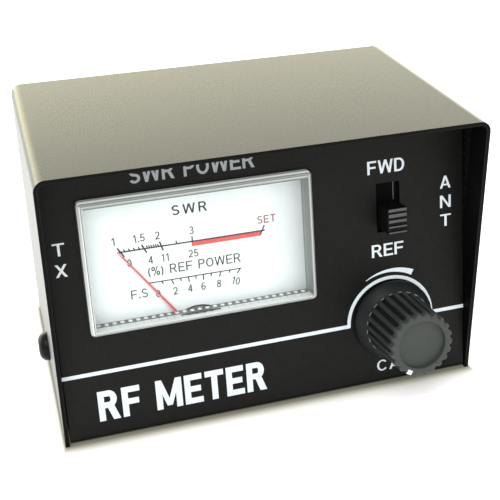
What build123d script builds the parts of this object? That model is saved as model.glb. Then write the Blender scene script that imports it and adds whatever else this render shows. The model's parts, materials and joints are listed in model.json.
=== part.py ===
"""SWR meter: a bench instrument for amateur radio.

A sheet-steel case with a leaning front panel holds a moving-coil meter, a slide switch and a
calibration potentiometer with its knob. Two UHF sockets on the rear panel are joined by a
directional coupler board. Millimetres. X runs across, -Y is the front, Z is up, and the case
stands on Z = 0. While the parts are made, Y = 0 is the plane of the cover's front edges; at the
end everything moves along Y so that the origin is under the middle of the whole object's box.

Parts on the front panel are made in the panel's own frame: u across, v up the panel and w out of
its front face.
"""

from build123d import *
import os
from math import cos, degrees, radians, sin, tan

# ---------------------------------------------------------------- driving dimensions
CASE_W = 105.0
CASE_H = 69.0
CASE_D = 63.6
SHEET = 1.0
COVER_BEND = 2.7
CHASSIS_GAP = 0.35
CHASSIS_BEND = 1.4
REAR_INSET = 1.0
PANEL_LEAN = 9.7
PANEL_Y = 0.27
PANEL_Z = 0.99
PANEL_TOP_GAP = 0.4
STIFFENER = 5.0

SCREW_Y = 31.8
SCREW_Z = 8.0
SCREW_HEAD_R = 3.75
SCREW_HEAD_H = 2.4
M3_R = 1.5

LENS_U0, LENS_U1 = -43.5, 11.35
LENS_V0, LENS_V1 = 26.15, 58.3
LENS_PROUD = 2.0
LENS_WALL = 1.0
LENS_CORNER = 1.2
WINDOW_GAP = 0.15
METER_MARGIN = 3.0
METER_V0, METER_V1 = 7.2, 61.2
METER_FLANGE = 1.0
METER_DEPTH = 22.0
METER_WALL = 1.2

PIVOT_U, PIVOT_V = -17.27, 19.66
PLATE_W = -3.2
PLATE_T = 0.5
PLATE_V0 = 25.5
NOTCH_R = 7.85
NEEDLE_W = -2.6
NEEDLE_T = 0.3
NEEDLE_R = 30.3
NEEDLE_REST = 36.0

CORE_R = 4.5
CORE_W0, CORE_W1 = -16.0, -8.0
YOKE_R0, YOKE_R1 = 6.7, 10.4
PILLAR_OFFSET = 8.55
PILLAR_R = 0.9

KNOB_U, KNOB_V = 31.36, 16.65
SKIRT_R = 10.25
KNOB_R0, KNOB_R1 = 8.3, 7.9
KNOB_GAP = 0.6
SKIRT_WALL = 1.0
SKIRT_TOP = 3.9
KNOB_TOP = 17.4
CAP_T = 1.8
FLUTES = 22
FLUTE_R = 0.68
FLUTE_OUT = 0.04
RECESS_R, RECESS_DEPTH = 5.95, 1.45
SHAFT_R = 3.0
SHAFT_GAP = 0.05
BUSHING_R = 3.5
POT_R = 8.25
INDEX_ANGLE = -118.0

SLOT_U, SLOT_V = 31.13, 46.03
SLOT_W, SLOT_H = 6.14, 12.45
LEVER_W, LEVER_H, LEVER_PROUD = 4.96, 6.2, 5.6
LEVER_TRAVEL = 4.0

SWITCH_HALF_U, SWITCH_HALF_V = 5.6, 11.2
FRAME_W0, FRAME_W1 = -8.0, -1.3
FRAME_T = 0.5

BOARD_T = 1.6
CONTROL_W = -12.0
CONTROL_U0, CONTROL_U1 = 21.0, 43.0
CONTROL_V0, CONTROL_V1 = 12.0, 59.5
TERMINAL_R = 0.5
POT_PIN_PITCH = 4.5
POT_PIN_V = 9.6

SOCKET_X, SOCKET_Z = 29.0, 34.0
SOCKET_R = 7.94
SOCKET_BORE_R = 6.05
SOCKET_LENGTH = 16.0
FLANGE_SIDE = 25.4
FLANGE_T = 1.8
SOCKET_PITCH = 18.2
CONTACT_R = 2.9
CONTACT_BORE_R = 2.0
CONTACT_BORE_LENGTH = 12.0
STEM_R = 1.8
COUPLER_Y = 54.0
COUPLER_HALF_X = 42.0
COUPLER_Z0, COUPLER_Z1 = 14.0, 54.0
LINE_T = 0.4
PICKUP_R = 0.6
PICKUP_Z = 5.0
PICKUP_HALF = 19.0
WIRE_R = 0.6

# ---------------------------------------------------------------- worked out from them
LEAN = radians(PANEL_LEAN)
PANEL = Plane(origin=(0, PANEL_Y, PANEL_Z), x_dir=(1, 0, 0), z_dir=(0, -cos(LEAN), sin(LEAN)))
INNER_W = CASE_W - 2 * SHEET
CHASSIS_W = INNER_W - 2 * CHASSIS_GAP
REAR_Y = CASE_D - REAR_INSET
CHASSIS_TOP = CASE_H - SHEET - PANEL_TOP_GAP
METER_U0, METER_U1 = LENS_U0 - METER_MARGIN, LENS_U1 + METER_MARGIN
METER_FRONT = -SHEET - METER_FLANGE
METER_BACK = METER_FRONT - METER_DEPTH
LEVER_V = SLOT_V - LEVER_TRAVEL / 2
SOCKET_FACE = REAR_Y + FLANGE_T
SOCKET_END = SOCKET_FACE + SOCKET_LENGTH

parts = {}


def add(name, *solids):
    """Keeps one named part; several solids stay separate in one compound."""
    flat = [s for item in solids for s in item.solids()]
    parts[name] = flat[0] if len(flat) == 1 else Compound(children=flat)


def block(x0, x1, y0, y1, z0, z1):
    """A box between two corners."""
    box = Box(x1 - x0, y1 - y0, z1 - z0, align=(Align.MIN, Align.MIN, Align.MIN))
    return Pos(x0, y0, z0) * box


def rod(x, y, z0, z1, r):
    """A cylinder along the local Z axis, from z0 to z1."""
    return Pos(x, y, z0) * Cylinder(r, z1 - z0, align=(Align.CENTER, Align.CENTER, Align.MIN))


def along_y(x, z, y0, y1, r):
    """A cylinder along Y, from y0 to y1."""
    stick = Cylinder(r, y1 - y0, align=(Align.CENTER, Align.CENTER, Align.MIN))
    return Pos(x, y0, z) * Rot(-90, 0, 0) * stick


def along_x(y, z, x0, x1, r):
    """A cylinder along X, from x0 to x1."""
    stick = Cylinder(r, x1 - x0, align=(Align.CENTER, Align.CENTER, Align.MIN))
    return Pos(x0, y, z) * Rot(0, 90, 0) * stick


def on_panel(shape):
    """Moves a shape from the panel's frame to the case's frame."""
    return PANEL.location * shape


def panel_point(u, v, w):
    """A point of the panel's frame, in the case's frame."""
    return (
        u,
        PANEL_Y + v * sin(LEAN) - w * cos(LEAN),
        PANEL_Z + v * cos(LEAN) + w * sin(LEAN),
    )


def wire(points, radii, r):
    """A round wire along straight runs joined by tangent arcs."""
    path = FilletPolyline(*points, radius=radii)
    start = Plane(origin=path @ 0, z_dir=path % 0)
    return sweep(start * Circle(r), path=path)


# ---------------------------------------------------------------- case
def make_cover():
    outer = block(-CASE_W / 2, CASE_W / 2, 0, CASE_D, 0, CASE_H)
    top_edges = outer.edges().filter_by(Axis.Y).group_by(Axis.Z)[-1]
    outer = fillet(top_edges, COVER_BEND)
    inner = block(-INNER_W / 2, INNER_W / 2, -1, CASE_D + 1, -1, CASE_H - SHEET)
    inner = fillet(inner.edges().filter_by(Axis.Y).group_by(Axis.Z)[-1], COVER_BEND - SHEET)
    cover = outer - inner
    for side in (-1, 1):
        x = side * CASE_W / 2
        cover -= along_x(SCREW_Y, SCREW_Z, x - 2, x + 2, M3_R + 0.1)
    return cover


def make_chassis():
    lean = tan(LEAN)
    foot = PANEL_Y - PANEL_Z * lean
    inner_foot = foot + SHEET / cos(LEAN)
    top_y = foot + CHASSIS_TOP * lean
    profile = Polyline(
        (foot, 0),
        (REAR_Y, 0),
        (REAR_Y, CHASSIS_TOP),
        (REAR_Y - STIFFENER, CHASSIS_TOP),
        (REAR_Y - STIFFENER, CHASSIS_TOP - SHEET),
        (REAR_Y - SHEET, CHASSIS_TOP - SHEET),
        (REAR_Y - SHEET, SHEET),
        (inner_foot + SHEET * lean, SHEET),
        (inner_foot + (CHASSIS_TOP - SHEET) * lean, CHASSIS_TOP - SHEET),
        (top_y + STIFFENER, CHASSIS_TOP - SHEET),
        (top_y + STIFFENER, CHASSIS_TOP),
        (top_y, CHASSIS_TOP),
        close=True,
    )
    sheet = extrude(Plane.YZ * make_face(profile), CHASSIS_W / 2, both=True)
    bends = sheet.edges().filter_by(Axis.X)
    outer = [e for e in bends if e.center().Z < 0.01]
    top = [e for e in bends if abs(e.center().Z - CHASSIS_TOP) < 0.01]
    outer += [e for e in top if min(abs(e.center().Y - y) for y in (top_y, REAR_Y)) < 0.01]
    sheet = fillet(outer, CHASSIS_BEND)
    room = block(-CHASSIS_W / 2, CHASSIS_W / 2, -5, CASE_D, -1, CHASSIS_TOP)
    sheet &= fillet(room.edges().filter_by(Axis.Y).group_by(Axis.Z)[-1], COVER_BEND - SHEET)
    for side in (-1, 1):
        edge = side * CHASSIS_W / 2
        tab = block(min(edge, edge - side * SHEET), max(edge, edge - side * SHEET), 22, 42, 0, 15)
        sheet += tab
    for side in (-1, 1):
        x = side * CHASSIS_W / 2
        sheet -= along_x(SCREW_Y, SCREW_Z, x - 2, x + 2, M3_R)
    window = block(
        LENS_U0 - WINDOW_GAP, LENS_U1 + WINDOW_GAP, LENS_V0 - WINDOW_GAP, LENS_V1 + WINDOW_GAP, -3, 3
    )
    window = fillet(window.edges().filter_by(Axis.Z), LENS_CORNER)
    slot = block(
        SLOT_U - SLOT_W / 2, SLOT_U + SLOT_W / 2, SLOT_V - SLOT_H / 2, SLOT_V + SLOT_H / 2, -3, 3
    )
    sheet -= on_panel(window)
    sheet -= on_panel(slot)
    sheet -= on_panel(rod(KNOB_U, KNOB_V, -3, 3, BUSHING_R))
    for side in (-1, 1):
        sheet -= along_y(side * SOCKET_X, SOCKET_Z, REAR_Y - 3, REAR_Y + 1, SOCKET_R)
        for x, z in socket_screw_places(side):
            sheet -= along_y(x, z, REAR_Y - 3, REAR_Y + 1, M3_R)
    return sheet


def make_cover_screws():
    screws = []
    for side in (-1, 1):
        head = Cylinder(SCREW_HEAD_R, SCREW_HEAD_H, align=(Align.CENTER, Align.CENTER, Align.MIN))
        head = fillet(head.edges().group_by(Axis.Z)[-1], 2.2)
        for turn in (0, 90):
            bar = Pos(0, 0, SCREW_HEAD_H) * Rot(0, 0, turn) * Box(3.6, 0.8, 2.6)
            head -= bar
        shank = Cylinder(M3_R, 6, align=(Align.CENTER, Align.CENTER, Align.MAX))
        screw = head + shank
        screws.append(Pos(side * CASE_W / 2, SCREW_Y, SCREW_Z) * Rot(0, side * 90, 0) * screw)
    return screws


# ---------------------------------------------------------------- moving-coil meter
def make_lens():
    flange = block(METER_U0, METER_U1, METER_V0, METER_V1, METER_FRONT, -SHEET)
    raised = block(LENS_U0, LENS_U1, LENS_V0, LENS_V1, METER_FRONT, LENS_PROUD)
    raised = fillet(raised.edges().filter_by(Axis.Z), LENS_CORNER - WINDOW_GAP)
    raised = chamfer(raised.faces().sort_by(Axis.Z)[-1].edges(), 0.6)
    hollow = block(
        LENS_U0 + LENS_WALL,
        LENS_U1 - LENS_WALL,
        LENS_V0 + LENS_WALL,
        LENS_V1 - LENS_WALL,
        METER_FRONT - 1,
        LENS_PROUD - LENS_WALL,
    )
    return flange + raised - hollow


def make_housing():
    tub = block(METER_U0, METER_U1, METER_V0, METER_V1, METER_BACK, METER_FRONT)
    tub = fillet(tub.edges().filter_by(Axis.Z), 2.0)
    hollow = block(
        METER_U0 + METER_WALL,
        METER_U1 - METER_WALL,
        METER_V0 + METER_WALL,
        METER_V1 - METER_WALL,
        METER_BACK + METER_WALL,
        METER_FRONT + 1,
    )
    tub -= hollow
    for u, v in plate_screw_places():
        tub += rod(u, v, METER_BACK + METER_WALL, PLATE_W - PLATE_T, 2.0)
        tub -= rod(u, v, PLATE_W - PLATE_T - 5, PLATE_W, 0.9)
    for u, v in terminal_places():
        tub -= rod(u, v, METER_BACK - 1, METER_BACK + METER_WALL + 1, M3_R)
    return tub


def plate_screw_places():
    return [(METER_U0 + 4.4, 58.0), (METER_U1 - 4.4, 58.0)]


def terminal_places():
    return [(PIVOT_U - 11, 42.0), (PIVOT_U + 11, 42.0)]


def make_scale_plate():
    plate = block(
        METER_U0 + METER_WALL,
        METER_U1 - METER_WALL,
        PLATE_V0,
        METER_V1 - METER_WALL,
        PLATE_W - PLATE_T,
        PLATE_W,
    )
    plate -= rod(PIVOT_U, PIVOT_V, PLATE_W - 2, PLATE_W + 1, NOTCH_R)
    for u, v in plate_screw_places():
        plate -= rod(u, v, PLATE_W - 2, PLATE_W + 1, 0.9)
    return plate


def make_plate_screws():
    return [
        rod(u, v, PLATE_W - PLATE_T - 4, PLATE_W, 0.9) + rod(u, v, PLATE_W, PLATE_W + 0.6, 1.5)
        for u, v in plate_screw_places()
    ]


def make_yoke():
    yoke = rod(PIVOT_U, PIVOT_V, CORE_W0, CORE_W1, YOKE_R1)
    yoke -= rod(PIVOT_U, PIVOT_V, CORE_W0 - 1, CORE_W1 + 1, YOKE_R0)
    for side in (-1, 1):
        yoke -= rod(PIVOT_U + side * PILLAR_OFFSET, PIVOT_V, CORE_W0 - 1, CORE_W1 + 1, PILLAR_R)
    return yoke


def make_core():
    return rod(PIVOT_U, PIVOT_V, CORE_W0, CORE_W1, CORE_R)


def make_core_bracket():
    """A brass strap under the core, between the core and the yoke, clear of the coil's sweep."""
    strap = block(
        PIVOT_U - 1.5, PIVOT_U + 1.5, PIVOT_V - YOKE_R0 - 0.6, PIVOT_V - CORE_R + 0.6, -13.0, -11.0
    )
    strap -= rod(PIVOT_U, PIVOT_V, -20, 0, CORE_R)
    keep = rod(PIVOT_U, PIVOT_V, -20, 0, YOKE_R0)
    return strap & keep


def make_bridge(front):
    """A strap with end bosses that stand on the yoke; its jewel screw sits over the pivot."""
    if front:
        strap_w0, strap_w1, boss_w0, boss_w1 = -4.6, -3.6, CORE_W1, -3.6
    else:
        strap_w0, strap_w1, boss_w0, boss_w1 = -20.0, -19.0, -20.0, CORE_W0
    strap = block(
        PIVOT_U - PILLAR_OFFSET, PIVOT_U + PILLAR_OFFSET, PIVOT_V - 1.6, PIVOT_V + 1.6, strap_w0, strap_w1
    )
    for side in (-1, 1):
        strap += rod(PIVOT_U + side * PILLAR_OFFSET, PIVOT_V, boss_w0, boss_w1, 1.7)
    for side in (-1, 1):
        strap -= rod(PIVOT_U + side * PILLAR_OFFSET, PIVOT_V, -21, -3, PILLAR_R)
    strap -= rod(PIVOT_U, PIVOT_V, -21, -3, 0.8)
    return strap


def make_pillars():
    floor = METER_BACK + METER_WALL
    return [rod(PIVOT_U + s * PILLAR_OFFSET, PIVOT_V, floor, -3.0, PILLAR_R) for s in (-1, 1)]


def make_jewel_screws():
    front = rod(PIVOT_U, PIVOT_V, -4.9, -3.6, 0.8) + rod(PIVOT_U, PIVOT_V, -3.6, -2.9, 1.3)
    front -= block(PIVOT_U - 2, PIVOT_U + 2, PIVOT_V - 0.2, PIVOT_V + 0.2, -3.2, -2)
    rear = rod(PIVOT_U, PIVOT_V, -20, -18.7, 0.8) + rod(PIVOT_U, PIVOT_V, -20.7, -20, 1.3)
    return [front, rear]


def make_hairspring(front):
    """A flat spiral of half rings whose outer end is soldered to a tag on the bridge."""
    inner_r, pitch, flat, wide, half_turns = 1.4, 0.5, 0.12, 0.35, 7
    w = -5.05 if front else -18.6
    coil = None
    for i in range(half_turns):
        upper = i % 2 == 0
        r = inner_r + i * pitch / 2
        ring = Cylinder(r + flat / 2, wide) - Cylinder(r - flat / 2, wide + 1)
        centre = 0 if upper else pitch / 2
        side = block(-9, 9, 0, 9, -1, 1) if upper else block(-9, 9, -9, 0, -1, 1)
        half = Pos(centre, 0, 0) * ring & side
        coil = half if coil is None else coil + half
    end_x = -(inner_r + (half_turns - 1) * pitch / 2)
    strap_face = -4.6 - w if front else -19.0 - w
    tag = block(end_x - 0.4, end_x + 0.4, -0.5, 0.1, min(-wide / 2, strap_face), max(wide / 2, strap_face))
    return Pos(PIVOT_U, PIVOT_V, w) * (coil + tag)


def make_coil():
    """The winding on its frame: a flat loop round the core, that turns in the gap."""
    half, thick, depth = 6.2, 1.1, 2.4
    outer = block(-half, half, -depth / 2, depth / 2, -17.6, -6.4)
    inner = block(-half + thick, half - thick, -depth, depth, -17.6 + thick, -6.4 - thick)
    loop = outer - inner
    return turned(loop)


def turned(shape):
    """Places a shape made about the pivot with its needle along +v at the rest angle."""
    return Pos(PIVOT_U, PIVOT_V, 0) * Rot(0, 0, NEEDLE_REST) * shape


def make_pivots():
    front = rod(0, 0, -6.4, -5.2, 0.5)
    rear = rod(0, 0, -18.4, -17.6, 0.5)
    return [turned(front), turned(rear)]


def make_needle():
    """A hub, a crank forward through the plate's notch, a tapering needle and a balance tail."""
    arm_w = -6.3
    hub = rod(0, 0, -6.4, -5.6, 1.2) - rod(0, 0, -7, -5, 0.5)
    profile = Polyline(
        (1.0, arm_w - 0.1),
        (5.6, arm_w - 0.1),
        (7.6, NEEDLE_W - NEEDLE_T / 2),
        (NEEDLE_R, NEEDLE_W - NEEDLE_T / 2),
        (NEEDLE_R, NEEDLE_W + NEEDLE_T / 2),
        (7.2, NEEDLE_W + NEEDLE_T / 2),
        (5.2, arm_w + 0.5),
        (1.0, arm_w + 0.5),
        close=True,
    )
    bar = extrude(Plane.YZ * make_face(profile), 0.6, both=True)
    outline = Polyline((-0.37, 0), (0.37, 0), (0.17, NEEDLE_R), (-0.17, NEEDLE_R), close=True)
    outline_cut = extrude(make_face(outline), -10)
    bar = bar & outline_cut
    tail = block(-0.4, 0.4, -4.6, -1.0, arm_w - 0.1, arm_w + 0.5)
    weight = rod(0, -4.4, arm_w - 0.1, arm_w + 0.9, 0.9)
    return turned(hub + bar + tail + weight)


def make_meter_terminals():
    studs = []
    for u, v in terminal_places():
        back = METER_BACK
        stud = rod(u, v, back - 6, back + METER_WALL, M3_R)
        stud += rod(u, v, back + METER_WALL, back + METER_WALL + 1, 2.6)
        stud += Pos(u, v, back - 1.6) * extrude(RegularPolygon(3.1, 6), 1.6)
        studs.append(stud)
    return studs


def make_glue_beads():
    """Two beads of hot-melt glue in the corner between the tub and the back of the panel."""
    beads = []
    for v0, outward in ((METER_V0, -1), (METER_V1, 1)):
        profile = Polyline((0, 0), (2.6 * outward, 0), (0, -3.2), close=True)
        shape = extrude(Plane.YZ * make_face(profile), 14, both=True)
        beads.append(Pos(PIVOT_U, v0, -SHEET) * shape)
    return beads


# ---------------------------------------------------------------- knob and potentiometer
def make_knob_body():
    cap_face = KNOB_TOP - CAP_T
    taper = (KNOB_R0 - KNOB_R1) / (KNOB_TOP - SKIRT_TOP)
    edge = KNOB_R0 - taper * (cap_face - SKIRT_TOP)
    profile = Polyline(
        (7.2, KNOB_GAP),
        (SKIRT_R, KNOB_GAP),
        (SKIRT_R, KNOB_GAP + SKIRT_WALL),
        (KNOB_R0 + 0.2, SKIRT_TOP),
        (KNOB_R0, SKIRT_TOP),
        (edge, cap_face),
        (SHAFT_R, cap_face),
        (SHAFT_R, 5.8),
        (7.2, 5.8),
        close=True,
    )
    body = revolve(Plane.XZ * make_face(profile), Axis.Z)
    return cut_flutes(body, SKIRT_TOP, KNOB_TOP + 1)


def cut_flutes(body, w0, w1):
    """Rounded grooves all round, leaning in with the knob's taper."""
    taper = (KNOB_R0 - KNOB_R1) / (KNOB_TOP - SKIRT_TOP)
    for i in range(FLUTES):
        a = 360 * (i + 0.5) / FLUTES
        groove = Cylinder(FLUTE_R, w1 - w0, align=(Align.CENTER, Align.CENTER, Align.MIN))
        groove = Pos(KNOB_R0 + FLUTE_OUT - taper * (w0 - SKIRT_TOP), 0, w0) * Rot(0, -degrees(taper), 0) * groove
        body -= Rot(0, 0, a + INDEX_ANGLE) * groove
    return body


def make_knob_cap():
    cap_face = KNOB_TOP - CAP_T
    taper = (KNOB_R0 - KNOB_R1) / (KNOB_TOP - SKIRT_TOP)
    edge = KNOB_R0 - taper * (cap_face - SKIRT_TOP)
    profile = Polyline(
        (0, cap_face),
        (edge, cap_face),
        (KNOB_R1 + 0.02, KNOB_TOP - 0.4),
        (KNOB_R1 - 0.5, KNOB_TOP),
        (RECESS_R + 0.1, KNOB_TOP),
        (RECESS_R, KNOB_TOP - RECESS_DEPTH),
        (0, KNOB_TOP - RECESS_DEPTH),
        close=True,
    )
    cap = revolve(Plane.XZ * make_face(profile), Axis.Z)
    cap = cut_flutes(cap, cap_face - 0.01, KNOB_TOP + 1)
    return cap - index_block()


def index_block():
    """The space of the painted index: across the cap's rim at the index angle."""
    mark = block(6.7, 8.6, -0.85, 0.85, KNOB_TOP - 0.8, KNOB_TOP + 0.5)
    return Rot(0, 0, INDEX_ANGLE) * mark


def make_knob_index():
    cap = revolve(
        Plane.XZ
        * make_face(
            Polyline(
                (0, KNOB_TOP - 0.8),
                (KNOB_R1 + 0.02, KNOB_TOP - 0.8),
                (KNOB_R1 + 0.02, KNOB_TOP - 0.4),
                (KNOB_R1 - 0.5, KNOB_TOP),
                (0, KNOB_TOP),
                close=True,
            )
        ),
        Axis.Z,
    )
    return cap & index_block()


def make_shaft():
    shaft = rod(0, 0, -7.6, 15.4, SHAFT_R)
    return shaft - block(-0.5, 0.5, -4, 4, 10.0, 16)


def make_wiper():
    disc = rod(0, 0, -6.6, -5.8, 6.6) - rod(0, 0, -7, -5, SHAFT_R)
    finger = block(4.2, 5.6, -0.8, 0.8, -5.8, -3.7)
    return disc + Rot(0, 0, INDEX_ANGLE) * finger


def make_bushing():
    body = rod(0, 0, -2.2, 5.2, BUSHING_R) + rod(0, 0, -2.2, -SHEET, POT_R)
    return body - rod(0, 0, -3, 6, SHAFT_R + SHAFT_GAP)


def make_pot_can():
    can = rod(0, 0, -9.2, -2.2, POT_R) - rod(0, 0, -8.7, -2, POT_R - 0.5)
    return can - block(-6.2, 6.2, 0, 12, -3.4, -2)


def make_pot_track():
    track = rod(0, 0, -3.4, -2.2, 7.4) + block(-6.0, 6.0, 0, 11.0, -3.4, -2.2)
    track -= rod(0, 0, -4, -2, SHAFT_R + 0.5)
    for u in pot_pin_places():
        track -= rod(u, POT_PIN_V, -4, -2, TERMINAL_R)
    return track


def pot_pin_places():
    return [-POT_PIN_PITCH, 0, POT_PIN_PITCH]


def make_pot_terminals():
    end = CONTROL_W - BOARD_T - 0.8
    return [rod(u, POT_PIN_V, end, -1.9, TERMINAL_R) for u in pot_pin_places()]


def make_pot_washer():
    return rod(0, 0, 0, 0.6, 5.8) - rod(0, 0, -1, 2, BUSHING_R)


def make_pot_nut():
    nut = Pos(0, 0, 0.6) * extrude(RegularPolygon(5.77, 6), 2.2)
    return nut - rod(0, 0, -1, 4, BUSHING_R)


def at_knob(shape):
    return Pos(KNOB_U, KNOB_V, 0) * shape


# ---------------------------------------------------------------- slide switch
def make_switch_frame():
    u, v = SWITCH_HALF_U, SWITCH_HALF_V
    frame = block(-u, u, -v, v, FRAME_W0, FRAME_W1)
    frame -= block(-u + FRAME_T, u - FRAME_T, -v + FRAME_T, v - FRAME_T, FRAME_W0 - 1, FRAME_W1 - FRAME_T)
    return frame - block(-3.0, 3.0, -5.6, 5.6, FRAME_W1 - 2, FRAME_W1 + 1)


def make_switch_base():
    u, v = SWITCH_HALF_U, SWITCH_HALF_V
    base = block(-u, u, -v, v, FRAME_W0 - 1.2, FRAME_W0)
    for x, y in switch_pin_places():
        base -= rod(x, y, FRAME_W0 - 3, FRAME_W0 + 1, TERMINAL_R)
    return base


def switch_pin_places():
    return [(x, y) for x in (-2.6, 2.6) for y in (-LEVER_TRAVEL, 0, LEVER_TRAVEL)]


def make_switch_terminals():
    pins = []
    for x, y in switch_pin_places():
        pin = rod(x, y, CONTROL_W - BOARD_T - 0.8, FRAME_W0, TERMINAL_R)
        pin += rod(x, y, FRAME_W0, FRAME_W0 + 0.2, 0.9)
        pins.append(pin)
    return pins


def make_lever():
    """The finger piece with four grip grooves, on the carriage that slides in the frame."""
    u, v = LEVER_W / 2, LEVER_H / 2
    finger = block(-u, u, -v, v, -5.0, LEVER_PROUD)
    finger = fillet(finger.faces().sort_by(Axis.Z)[-1].edges().filter_by(Axis.Y), 0.3)
    pitch = LEVER_H / 4.4
    for i in range(4):
        y = (i - 1.5) * pitch
        finger -= Pos(0, y, LEVER_PROUD) * Rot(0, 90, 0) * Cylinder(0.42, 12)
    carriage = block(-4.6, 4.6, -6.6, 6.6, -5.0, -2.2)
    return finger + carriage


def make_contact_clip():
    """Two sprung brass bridges carried under the carriage."""
    clips = []
    for x in (-2.6, 2.6):
        clip = block(x - 0.8, x + 0.8, -3.2, 3.2, -5.4, -5.0)
        for y in (-3.2, 2.6):
            clip += block(x - 0.8, x + 0.8, y, y + 0.6, -7.5, -5.0)
        clips.append(clip)
    return clips


def at_slot(shape):
    return Pos(SLOT_U, SLOT_V, 0) * shape


def at_lever(shape):
    return Pos(SLOT_U, LEVER_V, 0) * shape


# ---------------------------------------------------------------- control board
def make_control_board():
    board = block(CONTROL_U0, CONTROL_U1, CONTROL_V0, CONTROL_V1, CONTROL_W - BOARD_T, CONTROL_W)
    for u in pot_pin_places():
        board -= rod(KNOB_U + u, KNOB_V + POT_PIN_V, CONTROL_W - 3, CONTROL_W + 1, TERMINAL_R)
    for x, y in switch_pin_places():
        board -= rod(SLOT_U + x, SLOT_V + y, CONTROL_W - 3, CONTROL_W + 1, TERMINAL_R)
    return board


# ---------------------------------------------------------------- rear sockets
def socket_screw_places(side):
    h = SOCKET_PITCH / 2
    return [(side * SOCKET_X + a * h, SOCKET_Z + b * h) for a in (-1, 1) for b in (-1, 1)]


def make_socket_shell(side):
    x = side * SOCKET_X
    h = FLANGE_SIDE / 2
    flange = block(x - h, x + h, REAR_Y, SOCKET_FACE, SOCKET_Z - h, SOCKET_Z + h)
    flange = fillet(flange.edges().filter_by(Axis.Y), 2.0)
    shell = flange + along_y(x, SOCKET_Z, REAR_Y - SHEET - 1, SOCKET_END, SOCKET_R)
    shell -= along_y(x, SOCKET_Z, REAR_Y - 5, SOCKET_END + 1, SOCKET_BORE_R)
    for sx, sz in socket_screw_places(side):
        shell -= along_y(sx, sz, REAR_Y - 1, SOCKET_FACE + 1, M3_R)
    return shell


def make_insulator(side):
    x = side * SOCKET_X
    body = along_y(x, SOCKET_Z, REAR_Y - 4.6, SOCKET_END - 6, SOCKET_BORE_R)
    body -= along_y(x, SOCKET_Z, REAR_Y + 3.4, SOCKET_END, CONTACT_R)
    return body - along_y(x, SOCKET_Z, REAR_Y - 10, SOCKET_END, STEM_R)


def make_contact(side):
    x = side * SOCKET_X
    mouth = SOCKET_END - 1.4
    contact = along_y(x, SOCKET_Z, REAR_Y + 3.4, mouth, CONTACT_R)
    contact += along_y(x, SOCKET_Z, COUPLER_Y - 2.4, REAR_Y + 3.4, STEM_R)
    return contact - along_y(x, SOCKET_Z, mouth - CONTACT_BORE_LENGTH, mouth + 1, CONTACT_BORE_R)


def make_socket_screws():
    screws = []
    for side in (-1, 1):
        for x, z in socket_screw_places(side):
            head = Cylinder(2.7, 1.8, align=(Align.CENTER, Align.CENTER, Align.MIN))
            head = fillet(head.edges().group_by(Axis.Z)[-1], 1.0)
            for turn in (0, 90):
                head -= Pos(0, 0, 1.8) * Rot(0, 0, turn) * Box(2.8, 0.6, 1.8)
            screw = head + Cylinder(M3_R, FLANGE_T + 5, align=(Align.CENTER, Align.CENTER, Align.MAX))
            screws.append(Pos(x, SOCKET_FACE, z) * Rot(-90, 0, 0) * screw)
    return screws


def make_socket_nuts():
    nuts = []
    for side in (-1, 1):
        for x, z in socket_screw_places(side):
            nut = extrude(RegularPolygon(3.1, 6), 2.2) - Cylinder(M3_R, 10)
            nuts.append(Pos(x, REAR_Y - SHEET, z) * Rot(90, 0, 0) * nut)
    return nuts


# ---------------------------------------------------------------- coupler board
def make_coupler_board():
    board = block(
        -COUPLER_HALF_X, COUPLER_HALF_X, COUPLER_Y, COUPLER_Y + BOARD_T, COUPLER_Z0, COUPLER_Z1
    )
    for side in (-1, 1):
        board -= along_y(side * SOCKET_X, SOCKET_Z, COUPLER_Y - 1, COUPLER_Y + 3, STEM_R)
    return board


def make_through_line():
    half = SOCKET_X + 3.5
    line = block(-half, half, COUPLER_Y - LINE_T, COUPLER_Y, SOCKET_Z - 2.5, SOCKET_Z + 2.5)
    for side in (-1, 1):
        line -= along_y(side * SOCKET_X, SOCKET_Z, COUPLER_Y - 2, COUPLER_Y + 1, STEM_R)
    return line


def make_pickup_lines():
    return [
        along_x(COUPLER_Y - PICKUP_R, SOCKET_Z + s * PICKUP_Z, -PICKUP_HALF, PICKUP_HALF, PICKUP_R)
        for s in (-1, 1)
    ]


def axial(x, z, body_r, body_l, span):
    """A component that stands on the board on two bent leads, its body along X."""
    y = COUPLER_Y - body_r - 0.4
    part = along_x(y, z, x - body_l / 2, x + body_l / 2, body_r)
    part += along_x(y, z, x - span / 2, x + span / 2, 0.3)
    for side in (-1, 1):
        part += along_y(x + side * (span / 2 - 0.3), z, y, COUPLER_Y, 0.3)
    return part


def make_diodes():
    return [axial(s * 26.0, SOCKET_Z + s * 11.0, 1.0, 4.2, 9.0) for s in (-1, 1)]


def make_resistors():
    return [axial(-s * 26.0, SOCKET_Z + s * 11.0, 1.2, 6.3, 11.0) for s in (-1, 1)]


def make_capacitors():
    caps = []
    for s in (-1, 1):
        x, z = s * 12.0, SOCKET_Z + s * 12.0
        disc = along_y(x, z, COUPLER_Y - 3.4, COUPLER_Y - 1.4, 3.0)
        disc = fillet(disc.edges().filter_by(GeomType.CIRCLE), 0.8)
        for a in (-1, 1):
            disc += along_y(x + a * 1.6, z, COUPLER_Y - 1.6, COUPLER_Y, 0.3)
        caps.append(disc)
    return caps


# ---------------------------------------------------------------- internal wires
def coupler_to_control(x, z, u, v, swing):
    """From the coupler board's face, forward and round to the back of the control board."""
    back = CONTROL_W - BOARD_T
    points = [
        (x, COUPLER_Y, z),
        (x, COUPLER_Y - 9, z),
        (x + swing, COUPLER_Y - 20, (z + PANEL_Z + v) / 2),
        panel_point(u, v, back - 9),
        panel_point(u, v, back),
    ]
    return wire(points, 6.0, WIRE_R)


def make_forward_wire():
    return coupler_to_control(37.0, 46.0, 39.5, 54.0, 2.0)


def make_reflected_wire():
    return coupler_to_control(15.0, 19.5, 24.0, 36.0, 3.0)


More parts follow.
